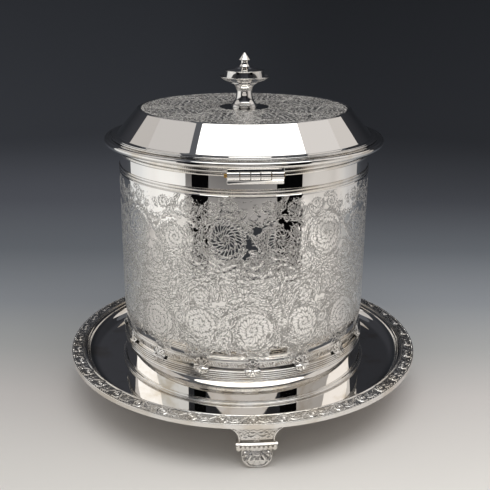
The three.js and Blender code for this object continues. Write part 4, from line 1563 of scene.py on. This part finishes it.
# %% Spin the cover
COVER_SHEET = 1.0
RIM_WIRE_WIDTH = 0.75
LEDGE_WIDTH = 5.0
DRUM_RISE = 1.55
RIM_RISE = 0.8
RIM_WIRE_LIFT = 0.7
ROPE_DROP = 1.1
ROPE_WIDTH = 2.6
LEDGE_STEP = 3.1
CONE_WIDTH = 12.8
ROD_RADIUS = 1.5
DISC_COLUMNS = 512
DISC_ROW = 0.75
KNOB_FIELD = 8.5
GROOVE_DEPTH = 0.3
GROOVE_HALF = 0.3
DISC_GROOVES = (65.8, 64.9)
ENGRAVED_INNER = 15.5
ENGRAVED_OUTER = 64.2

# Rings of scrolls on the disc: how many, at what radius and how large.
DISC_ROSE_RINGS = [(8, 41.0, 11.5), (8, 24.5, 5.5), (8, 54.0, 6.0), (16, 58.5, 3.2)]

lid_top = high("lid_cover")
rim_radius = reach("lid_rim_wire")
rim_top = high("lid_rim_wire") - RIM_WIRE_LIFT
lid_drum = rim_radius - LEDGE_WIDTH
ledge = rim_top + RIM_RISE
lid_drum_top = ledge + DRUM_RISE
cone_foot = lid_drum - LEDGE_STEP
disc_radius = cone_foot - CONE_WIDTH
rod_bore = ROD_RADIUS + BORE_GAP


def cover_outline():
    """Fine rows on the disc, which is engraved, and few on the plain parts and the underside."""
    rise = [(rim_radius - RIM_WIRE_WIDTH - SOLDER_FILM, rim_top), (lid_drum, ledge)]
    rise += [(lid_drum, lid_drum_top), (cone_foot, lid_drum_top + 0.1)]
    disc_edge = (disc_radius, lid_top)
    border = [disc_edge]
    for groove in DISC_GROOVES:
        border.append((groove + GROOVE_HALF, lid_top))
        border.append((groove, lid_top - GROOVE_DEPTH))
        border.append((groove - GROOVE_HALF, lid_top))
    rows = np.linspace(ENGRAVED_OUTER, KNOB_FIELD, int((ENGRAVED_OUTER - KNOB_FIELD) / DISC_ROW) + 1)
    face = rise + border + [(row, lid_top) for row in rows] + [(rod_bore, lid_top)]
    coarse = rise + [disc_edge, (rod_bore, lid_top)]
    return face + beside(coarse, COVER_SHEET)[::-1]


cover = turned("chased_lid", cover_outline(), steps=DISC_COLUMNS, ease=0.2)

# %% [markdown]
# The disc is engraved all over like the drum, with a ring of large scrolls between rings of small
# ones. Two fine lines run round its edge, and the ring under the knob is left plain.

# %% Engrave the disc
DISC_WREATH = 14
DISC_WREATH_LEAF = (5.0, 1.6)

disc_roses = []
for count, ring, size in DISC_ROSE_RINGS:
    for index in range(count):
        angle = 2 * math.pi * (index + 0.5 * (ring > ENGRAVED_OUTER / 2)) / count
        disc_roses.append((ring * math.sin(angle), -ring * math.cos(angle), size, 1 - 2 * (index % 2)))


def disc_worked(x, y):
    """Share of the disc that is engraved, a ring between the knob's field and the edge lines."""
    ring = np.hypot(x, y)
    return np.clip(ring - ENGRAVED_INNER, 0, 1) * np.clip(ENGRAVED_OUTER - ring, 0, 1)



# The disc isn't unrolled, so its period is wider than the disc and nothing repeats.
disc_layout = Layout(2.2 * disc_radius, disc_roses)
for rose in disc_roses[: DISC_ROSE_RINGS[0][0]]:
    disc_layout.add_wreath(rose, DISC_WREATH, *DISC_WREATH_LEAF)
disc_rng = np.random.default_rng(CHASING_SEED + 1)
disc_layout.fill_with_leaves(-ENGRAVED_OUTER, ENGRAVED_OUTER, disc_worked, disc_rng)
chase(
    cover,
    disc_layout,
    lambda place: (place[:, 0], place[:, 1]),
    -disc_radius,
    disc_radius,
    lambda place: (place[:, 2] > lid_top - 0.02) & (disc_worked(place[:, 0], place[:, 1]) > 0),
    disc_worked,
)
fitted(cover, "lid", "silver_chased", engraved, "lid_cover")

# %% Spin the collar and the bezel
COLLAR_SHEET = 1.0
COLLAR_STRAIGHT = 2.1
BEZEL_SHEET = 0.8
BEZEL_STRAIGHT = 4.3
BEZEL_JOGGLE = 0.7
BEZEL_PLAY = 0.7
COLLAR_FOOT = 0.15

lid_base = low("lid_collar")
flange_end = reach("lid_collar")
straight_top = lid_base - COLLAR_FOOT + COLLAR_STRAIGHT
collar_top = high("lid_collar") - COLLAR_SHEET
flare_width = flange_end - neck
flare = arc(flange_end, straight_top, flare_width, collar_top - straight_top, 180, 90, 14)
collar = turned("lid_flare", sheet([(neck, lid_base)] + flare, COLLAR_SHEET), ease=0.1)
fitted(collar, "lid", "silver_polished", plate, "lid_collar")

bezel_low = low("lid_bezel")
bezel_outer = reach("lid_bezel")
bezel_radius = neck - DRUM_SHEET - BEZEL_PLAY
bezel_line = [
    (bezel_radius, bezel_low),
    (bezel_radius, bezel_low + BEZEL_STRAIGHT),
    (bezel_outer, bezel_low + BEZEL_STRAIGHT + BEZEL_JOGGLE),
    (bezel_outer, high("lid_bezel")),
]
bezel = turned("lid_bezel_ring", sheet(bezel_line, BEZEL_SHEET), ease=0.25)
fitted(bezel, "lid", "silver_inside", satin, "lid_bezel")

# %% Lay the lid's wires
RIM_NICKS = 440
RIM_NICKED = 0.5

seam_wire("lid_mouth_bead", "lid_mouth_wire", neck_back, "lid", cast, nicks=NECK_NICKS)
seam_wire(
    "lid_rim_bead",
    "lid_rim_wire",
    rim_radius - ROPE_WIDTH,
    "lid",
    plate,
    drop=ROPE_DROP,
    nicks=RIM_NICKS,
    nicked=RIM_NICKED,
)
seam_wire("lid_crown_bead", "lid_crown_wire", lid_drum + SOLDER_FILM, "lid", plate)

# %% [markdown]
# ## Hinge
#
# Two leaves are soldered to the neck and to the lid's flare, with five knuckles on one rod. The
# leaves are bars that were filed to the wall behind them. Each is cut back where the other leaf's
# knuckles turn, and its outline is rounded and polished bright.

# %% Helpers for the hinge
KNUCKLE_WIDTHS = (7, 5.8, 5.4, 5.8, 7)
KNUCKLE_RADIUS = 2.75
TURNING_GAP = 0.18
KNUCKLE_BORE = 1.15
LID_GAP = 0.3
LEAF_HALF_HEIGHT = 4.6
LEAF_FRONT = 1.6
KNUCKLE_SIDES = 48
LEAF_ROUNDING = 0.55
WALL_STEP = 0.65
FLARE_FILM = 0.06
ROD_PLAY = 0.05

hinge_radius = -(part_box("hinge_pin")[0].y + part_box("hinge_pin")[1].y) / 2 / MM
hinge_level = (low("hinge_pin") + high("hinge_pin")) / 2
hinge_half = sum(KNUCKLE_WIDTHS) / 2
leaf_back = -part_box("hinge_lid_leaf")[1].y / MM


def lengthwise(piece):
    """Lays a turned piece along the hinge's axis."""
    lay = Matrix.Rotation(math.pi / 2, 4, "Y")
    place = Matrix.Translation((0, -hinge_radius * MM, hinge_level * MM))
    return placed(piece, place @ lay)


def knuckle_spans():
    """Left and right end of each knuckle, with half the turning gap taken off both."""
    left = -hinge_half
    spans = []
    for width in KNUCKLE_WIDTHS:
        spans.append((left + TURNING_GAP / 2, left + width - TURNING_GAP / 2))
        left += width
    return spans


def roller(name, radius, left, right, ease=0.0):
    """A closed cylinder on the hinge's axis, with rounded ends where an ease is given."""
    line = [(0, left), (radius, left), (radius, right), (0, right)]
    return lengthwise(turned(name, line, steps=KNUCKLE_SIDES, ease=ease))


def cut(piece, tool, operation="DIFFERENCE"):
    """Cuts the tool out of a piece, or adds it, and throws the tool away."""
    change = piece.modifiers.new("cut", "BOOLEAN")
    change.object = tool
    change.operation = operation
    change.solver = "EXACT"
    choose(piece)
    bpy.ops.object.modifier_apply(modifier=change.name)
    bpy.data.objects.remove(tool)
    return piece


def leaf_bar(name, bottom, top):
    """The plain bar of a leaf, with its front edges and ends rounded."""
    deselect_all()
    bpy.ops.mesh.primitive_cube_add(size=1)
    piece = bpy.context.object
    piece.name = name
    near, far = hinge_radius + LEAF_FRONT, leaf_back
    left, right = knuckle_spans()[0][0], knuckle_spans()[-1][1]
    size = Matrix.Diagonal(((right - left) * MM, (near - far) * MM, (top - bottom) * MM, 1))
    centre = (0, -(near + far) / 2 * MM, (top + bottom) / 2 * MM)
    placed(piece, Matrix.Translation(centre) @ size)
    with editing_all():
        bpy.ops.mesh.bevel(offset=LEAF_ROUNDING * MM, segments=3, affect="EDGES")
    return piece


# %% Make the leaves and the rod
def leaf(name, side, first):
    """A leaf below the axis (side -1) or above it (side 1), with every second knuckle."""
    ends = sorted((hinge_level + side * LID_GAP, hinge_level + side * LEAF_HALF_HEIGHT))
    piece = leaf_bar(name, *ends)
    spans = knuckle_spans()
    for i, (left, right) in enumerate(spans):
        if i % 2 != first:
            gap = TURNING_GAP
            cut(piece, roller("clearance", KNUCKLE_RADIUS + gap, left - gap, right + gap))
    for i, (left, right) in enumerate(spans):
        if i % 2 == first:
            cut(piece, roller("knuckle", KNUCKLE_RADIUS, left, right, ease=0.3), "UNION")
    cut(piece, roller("bore", KNUCKLE_BORE, -2 * hinge_half, 2 * hinge_half))
    wall = neck + WALL_STEP
    under_flare = [(0, shoulder), (wall, shoulder), (wall, straight_top), (0, straight_top)]
    cut(piece, turned("wall", under_flare, ease=0))
    flare_back = beside([(neck, lid_base)] + flare, -FLARE_FILM)
    lid_side = [(0, lid_base)] + flare_back + [(rim_radius, collar_top), (rim_radius, rim_top)]
    cut(piece, turned("flare", lid_side + [(0, rim_top)], ease=0))
    smooth(piece)
    return piece


lower_leaf = leaf("hinge_lower_leaf", -1, 0)
fitted(lower_leaf, "barrel", "silver_polished", plate, "hinge_body_leaf")
upper_leaf = leaf("hinge_upper_leaf", 1, 1)
fitted(upper_leaf, "lid", "silver_polished", plate, "hinge_lid_leaf")

rod_left, rod_right = [corner.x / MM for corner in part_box("hinge_pin")]
rod_radius = KNUCKLE_BORE - ROD_PLAY
rod_line = [(0, rod_left), (rod_radius, rod_left), (rod_radius, rod_right), (0, rod_right)]
rod = lengthwise(turned("hinge_rod", rod_line, steps=KNUCKLE_SIDES, ease=0.35))
fitted(rod, "barrel", "brass", brass, "hinge_pin")

# %% [markdown]
# ## Knob
#
# The knob is four turned pieces on one rod: a baluster stem, a shallow saucer, an urn with a low cone
# on top, and a pointed finial. A washer and a nut under the lid draw them together.

# %% Turn the knob
STEM_FOOT = 8.1
STEM_WAIST = 4.9
STEM_WAIST_AT = 9.85
FOOT_HEIGHT = 2.0
SKIRT_WIDTH = 2.9
SAUCER_SHEET = 1.6
SAUCER_OVERHANG = 0.5
SAUCER_WELL = 11.5
DISH_CURVE = 2.0
LIP_RISE = 0.7
CUP_RIM = 11.9
CUP_CONE = 2.2
CUP_SPREAD = 0.7
CUP_HOLLOW = 1.15
CUP_EDGE = 0.35
TIP_NECK = 2.15
CONE_HEIGHT = 4.5
NECK_FLARE = 1.4

stem_low, stem_top = low("knob_stem"), high("knob_stem")
stem_seat = reach("knob_stem")
saucer_low, saucer_top = low("knob_saucer"), high("knob_saucer")
saucer_lip = reach("knob_saucer") + SAUCER_OVERHANG
cup_low, cup_top = low("knob_cup"), high("knob_cup")
cup_wide = reach("knob_cup") + CUP_SPREAD
rod_end, tip_top = low("knob_tip"), high("knob_tip")
tip_widest = reach("knob_tip")


def stem_outline():
    """A grooved foot, a skirt that draws in to the waist and a short curve out to the head."""
    foot_top = stem_low + FOOT_HEIGHT
    waist_level = stem_low + STEM_WAIST_AT
    shaft = [(rod_bore, stem_low), (STEM_FOOT, stem_low), (STEM_FOOT, stem_low + 0.7)]
    shaft += [(STEM_FOOT - 0.45, stem_low + 0.95), (STEM_FOOT - 0.1, stem_low + 1.2)]
    shaft += [(STEM_FOOT - 0.3, foot_top - 0.3), (STEM_FOOT - 0.9, foot_top)]
    skirt_height = waist_level - foot_top - 0.2
    shaft += arc(STEM_WAIST + SKIRT_WIDTH, waist_level, SKIRT_WIDTH, skirt_height, 255, 180, 12)
    head = stem_top - waist_level
    shaft += arc(stem_seat, waist_level, stem_seat - STEM_WAIST, head - 0.7, 180, 98, 12)[1:]
    shaft += [(stem_seat, stem_top - 0.5), (stem_seat, stem_top), (rod_bore, stem_top)]
    return shaft


def saucer_outline():
    """A shallow dish that curves up all the way to its lip."""
    inner_foot = saucer_low + SAUCER_SHEET
    lip_top = saucer_top + LIP_RISE
    under = [(rod_bore, saucer_low), (stem_seat, saucer_low)]
    for share in np.linspace(0.08, 1.0, 11):
        climb = (lip_top - 0.5 - saucer_low - 0.2) * share**DISH_CURVE
        under.append((stem_seat + (saucer_lip - stem_seat) * share, saucer_low + 0.2 + climb))
    lip = [(saucer_lip + 0.05, lip_top - 0.15), (saucer_lip - 0.25, lip_top)]
    lip += [(saucer_lip - 0.6, lip_top - 0.3), (saucer_lip - 1.0, saucer_top + 0.1)]
    hollow = [(saucer_lip - 1.4, saucer_top), (SAUCER_WELL, saucer_top)]
    return under + lip + hollow + [(SAUCER_WELL - 0.3, inner_foot), (rod_bore, inner_foot)]


def cup_outline():
    """A drum with a slightly hollowed wall that spreads downward, under a low cone."""
    rim = cup_top - CUP_CONE
    wall_top = rim - CUP_EDGE
    wall = [(rod_bore, cup_low), (cup_wide, cup_low)]
    for share in np.linspace(0.92, 0.0, 9):
        spread = (cup_wide - CUP_RIM) * share**CUP_HOLLOW
        wall.append((CUP_RIM + spread, wall_top - (wall_top - cup_low) * share))
    wall += [(CUP_RIM + 0.15, rim - 0.2), (CUP_RIM + 0.1, rim)]
    wall += [(CUP_RIM - 0.5, rim + 0.05), (6.5, rim + CUP_CONE * 0.45), (3.9, cup_top - 0.1)]
    wall += [(3.4, cup_top), (rod_bore, cup_top)]
    return wall


def tip_outline():
    """A cone on a hollow neck, and below it the rod that runs down through the knob."""
    base = cup_top + SOLDER_FILM
    cone_base = tip_top - CONE_HEIGHT
    profile = [(0, rod_end), (ROD_RADIUS - 0.4, rod_end), (ROD_RADIUS, rod_end + 0.4)]
    profile += [(ROD_RADIUS, base), (TIP_NECK + NECK_FLARE, base)]
    for share in np.linspace(0.06, 1.0, 10):
        flare = NECK_FLARE * (1 - share) ** 3 + 0.35 * share**4
        profile.append((TIP_NECK + flare, base + (cone_base - base) * share))
    profile += [(tip_widest - 0.1, cone_base + 0.02), (tip_widest, cone_base + 0.2)]
    profile += [(tip_widest * 0.55, tip_top - 2.2), (0.4, tip_top - 0.2), (0, tip_top - 0.01)]
    return profile


knob = [
    ("knob_baluster", stem_outline(), 0.12, "knob_stem"),
    ("knob_dish", saucer_outline(), 0.1, "knob_saucer"),
    ("knob_urn", cup_outline(), 0.1, "knob_cup"),
    ("knob_finial", tip_outline(), 0.1, "knob_tip"),
]
for name, outline, ease, solid in knob:
    piece = turned(name, outline, steps=SMALL_STEPS, ease=ease)
    fitted(piece, "lid", "silver_polished", plate, solid)

# %% [markdown]
# ## Fastenings
#
# Brass washers and hexagonal nuts draw the knob down on the lid and the drum down on the tray. The
# nuts' corners are chamfered on the lathe, as on real nuts.

# %% Make washers and nuts
HEXAGON = 6
NUT_CHAMFER = 0.6
BORE_CHAMFER = 0.3
FLAT_STEP = 0.1
NUT_SMOOTH_BELOW = math.radians(20)


def washer(name, solid, bore):
    """A plain ring with eased edges."""
    outer, bottom, top = reach(solid), low(solid), high(solid)
    ring = [(bore, top), (outer, top), (outer, bottom), (bore, bottom)]
    return turned(name, ring, steps=SMALL_STEPS, ease=0.25)


def nut(name, solid, bore):
    """A turned blank with chamfered ends, pressed in to six flats."""
    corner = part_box(solid)[1].y / MM
    bottom, top = low(solid), high(solid)
    across = corner * math.cos(math.pi / HEXAGON)
    blank = [(bore + BORE_CHAMFER, top), (bore, top - BORE_CHAMFER)]
    blank += [(bore, bottom + BORE_CHAMFER), (bore + BORE_CHAMFER, bottom)]
    blank += [(across - FLAT_STEP, bottom), (corner, bottom + NUT_CHAMFER)]
    blank += [(corner, top - NUT_CHAMFER), (across - FLAT_STEP, top)]
    piece = turned(name, blank, steps=SMALL_STEPS, ease=0.04)
    sector = 2 * math.pi / HEXAGON
    for vertex in piece.data.vertices:
        angle = math.atan2(vertex.co.x, vertex.co.y)
        off_flat = (angle + sector) % sector - sector / 2
        flat = across * MM / math.cos(off_flat)
        distance = math.hypot(vertex.co.x, vertex.co.y)
        if distance > flat:
            vertex.co.x *= flat / distance
            vertex.co.y *= flat / distance
    piece.data.update()
    smooth(piece, NUT_SMOOTH_BELOW)
    return piece


fastenings = [
    (washer("knob_rod_washer", "knob_washer", rod_bore), "lid", "knob_washer"),
    (nut("knob_rod_nut", "knob_nut", rod_bore), "lid", "knob_nut"),
    (washer("washer_under_tray", "stand_washer", STUD_RADIUS + BORE_GAP), "barrel", "stand_washer"),
    (nut("nut_under_tray", "stand_nut", STUD_RADIUS + BORE_GAP), "barrel", "stand_nut"),
]
for piece, body, solid in fastenings:
    fitted(piece, body, "brass", brass, solid)

# %% [markdown]
# ## Feet
#
# Three cast brackets carry the tray. Each is a plate with drawn-in sides, a raised rim and sunk scroll
# lines, a bar that is flattened in front and ends in a knob at either end, an apron of nine hanging
# lobes and a shell with nine flutes inside a raised rim. The parts of one foot are modelled flat, bent
# to the tray's round and joined as one casting.

# %% Helper for castings
FEET = ("foot_hinge_side", "foot_right", "foot_left")
CASTING_SMOOTH_BELOW = math.radians(50)


def casting(name, columns, rows, front_at, back_at):
    """A slab whose front and back are given by functions of a share across and a share up."""
    deselect_all()
    bpy.ops.mesh.primitive_grid_add(x_subdivisions=columns, y_subdivisions=rows, size=2)
    piece = bpy.context.object
    piece.name = name
    with editing_all():
        bpy.ops.mesh.extrude_region_move(TRANSFORM_OT_translate={"value": (0, 0, 1)})
    across, up, side = points_of(piece.data).T
    up = (up + 1) / 2
    front, back = np.array(front_at(across, up)), np.array(back_at(across, up))
    x, distance, z = np.where(side > 0.5, front, back)
    move_points(piece.data, np.stack([x, -np.sqrt(distance**2 - x**2), z], 1))
    turn_outward()
    bpy.ops.object.shade_smooth_by_angle(angle=CASTING_SMOOTH_BELOW)
    return piece


# %% Measures of a foot
WING_HALF = 20.5
NECK_HALF = 10.4
NECK_HEIGHT = 16.0
BAR_HALF = 12.3
BAR_LEVEL = 14.45
BAR_RADIUS = 1.1
BAR_REACH = 0.9
BAR_KNOB = 1.15
FACET_TILT = math.radians(50.0)
FACET_DEPTH = 0.55
APRON_HALF = 11.4
APRON_LOW = 10.0
SHELL_HALF = 8.8
SHELL_CENTRE = 8.3
SHELL_HEART = 11.4
FLUTES = 9
FLUTE_RELIEF = 0.3
FLUTE_GROUND = -0.04
RIM_RELIEF = 0.75
PLATE_THICKNESS = 4.8
PLATE_OVERLAP = 1.2
PLATE_FACE = -0.42
PLATE_RIM_RELIEF = 0.5
PLATE_CUT_DEPTH = 0.5
PLATE_LINE_RELIEF = 0.16
FOOT_OVERHANG = 3.0
SHELL_DEPTH = 8.0
TOE_REACH = 2.6

foot_top = high("foot_hinge_side")
foot_outer = -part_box("foot_hinge_side")[0].y / MM
foot_neck = foot_outer - FOOT_OVERHANG


def foot_face(level):
    """Distance of the foot's plain face from the barrel's axis at a level."""
    levels = [0, 1.2, 5, 8, APRON_LOW, NECK_HEIGHT, 19, 22.5, foot_top]
    outs = [1.3, 1.9, TOE_REACH, 1.6, 0.35, 0, 0.45, 1.5, foot_outer - foot_neck]
    return foot_neck + np.interp(level, levels, outs)


def wing(level):
    """Half width of the plate at a level: a quarter ellipse from the wide top to the neck."""
    share = np.clip((level - NECK_HEIGHT) / (foot_top - NECK_HEIGHT), 0, 1)
    return WING_HALF - (WING_HALF - NECK_HALF) * np.sqrt(np.clip(1 - share**2, 0, 1))


# %% Model the plate, the bar, the apron and the shell
def plate_relief(x, z):
    """A raised rim along the sides, sunk scrolls, ribbon and middle leaf, and raised lines below."""
    sx = np.abs(x)
    side = wing(z) - sx
    rim = PLATE_RIM_RELIEF * mound(side - 0.6, 0.6)
    scroll = mound(curl(sx, z, (6.4, 21.3), 2.6, 1.5, 140, 1), 0.5)
    small = mound(curl(sx, z, (11.6, 24.0), 1.8, 1.3, 30, -1), 0.45)
    stem = mound(np.abs(z - 22.9 - 1.1 * np.sin(sx * 0.75)), 0.4) * (sx < 13)
    leaf_angle = np.arctan2(z - 18.6, x)
    leaf = petal(np.hypot(x, (z - 18.6) * 0.8), 2.3 + 0.8 * np.cos(6 * leaf_angle))
    lines = mound(z - 16.9, 0.3) + 0.7 * mound(z - 17.9, 0.25)
    ribbon = mound(np.abs(np.abs(z - 20.6) - 1.5 * np.abs(np.sin(sx * 0.42 + 0.2))), 0.42)
    ribbon = ribbon * (sx < wing(z) - 2.0)
    field = np.maximum.reduce([scroll, small, stem, leaf]) * (side > 1.2)
    cut_in = PLATE_CUT_DEPTH * np.maximum(ribbon, 0.5 * field)
    return rim - cut_in * (z < foot_top - 1.2) + PLATE_LINE_RELIEF * lines * (side > 1.0)


def plate_front(across, up):
    """The plate's face, as wide as the drawn-in sides leave it."""
    z = NECK_HEIGHT - PLATE_OVERLAP + up * (foot_top - NECK_HEIGHT + PLATE_OVERLAP)
    x = across * wing(z)
    return x, foot_face(z) + PLATE_FACE + plate_relief(x, z), z


def plate_back(across, up):
    """The plate's plain back."""
    x, _, z = plate_front(across, up)
    return x, foot_face(z) - PLATE_THICKNESS, z


def bar():
    """The bar, turned with a knob at either end, flattened in front and bent to the foot's face."""
    line = [(0, -BAR_HALF)] + arc(0, -BAR_HALF + BAR_KNOB, BAR_KNOB, BAR_KNOB, -75, 45, 6)
    line += [(BAR_RADIUS * 0.75, -BAR_HALF + 2.4)]
    line += [(BAR_RADIUS, z) for z in np.linspace(-BAR_HALF + 3.0, BAR_HALF - 3.0, 25)]
    line += [(r, -z) for r, z in line[:0:-1] if z < -BAR_HALF + 2.5] + [(0, BAR_HALF)]
    piece = turned("bar", line, steps=24, ease=0)
    for vertex in piece.data.vertices:
        out, up, along = vertex.co / MM
        beyond = max(0.0, out * math.cos(FACET_TILT) + up * math.sin(FACET_TILT) - FACET_DEPTH)
        out -= beyond * math.cos(FACET_TILT)
        up -= beyond * math.sin(FACET_TILT)
        distance = foot_neck + BAR_REACH + out
        vertex.co = Vector((along, -math.sqrt(distance**2 - along**2), BAR_LEVEL + up)) * MM
    piece.data.update()
    return piece


def apron_front(across, up):
    """A row of nine hanging lobes; the outer ones are larger and hang lower."""
    lobes = np.abs(np.sin(across * math.pi * FLUTES / 2 + math.pi / 2))
    hang = APRON_LOW + 1.0 - 0.9 * lobes - 0.6 * np.abs(across) ** 6
    z = hang + up * (NECK_HEIGHT - 1.4 - hang)
    x = across * (APRON_HALF + 0.3 * np.sin(up * math.pi))
    pip = mound(np.hypot(lobes, (z - 12.6) / 0.8), 0.7)
    swell = 0.6 * lobes * np.sin(np.clip(up, 0, 1) * math.pi) ** 0.5
    return x, foot_face(z) + 0.15 + swell - 0.7 * pip, z


def apron_back(across, up):
    """The apron's plain back."""
    x, _, z = apron_front(across, up)
    return x, foot_face(z) - PLATE_THICKNESS, z


def shell_place(across, up):
    """The shell's fan: across turns through the half circle and up runs inward from the rim."""
    angle = math.pi * (-0.5 + across * 0.56)
    out = 1 - up
    sideways, upward = np.cos(angle), np.sin(angle)
    drop = SHELL_HEART - SHELL_CENTRE
    rim = -drop * upward + np.sqrt(SHELL_HALF**2 - drop**2 + (drop * upward) ** 2)
    return out * rim * sideways, np.maximum(SHELL_HEART + out * rim * upward, 0), out


def shell_front(across, up):
    """Nine rounded flutes with a small lobe at each end, round a heart and inside a raised rim."""
    x, z, out = shell_place(across, up)
    rim = RIM_RELIEF * mound(out - 0.93, 0.075)
    flute = np.abs(np.cos(across * math.pi * FLUTES / 2))
    band = np.clip((out - 0.36) / 0.06, 0, 1) * np.clip((0.86 - out) / 0.05, 0, 1)
    lobe_end = mound(np.hypot((1 - flute) * 0.35, out - 0.8), 0.12) * 0.35
    heart = 0.35 * mound(out, 0.34)
    relief = rim + band * (FLUTE_RELIEF * flute**0.7 + FLUTE_GROUND) + lobe_end + heart
    return x, foot_face(np.minimum(z, APRON_LOW)) - 0.3 + relief, z


def shell_back(across, up):
    """The shell's plain back, which thickens towards the table."""
    x, z, _ = shell_place(across, up)
    depth = PLATE_THICKNESS + (SHELL_DEPTH - PLATE_THICKNESS) * np.clip(1 - z / APRON_LOW, 0, 1)
    return x, foot_face(z) - depth, z


def foot(name, index):
    """One foot, cast in a piece and turned to its place under the tray."""
    parts = [
        casting(name, 96, 40, plate_front, plate_back),
        bar(),
        casting("apron", 108, 14, apron_front, apron_back),
        casting("shell", 120, 40, shell_front, shell_back),
    ]
    whole = joined(name, parts)
    return placed(whole, Matrix.Rotation(2 * math.pi * index / len(FEET), 4, "Z"))


for index, solid in enumerate(FEET):
    fitted(foot(solid + "_cast", index), "barrel", "silver_cast", soft_cast, solid)
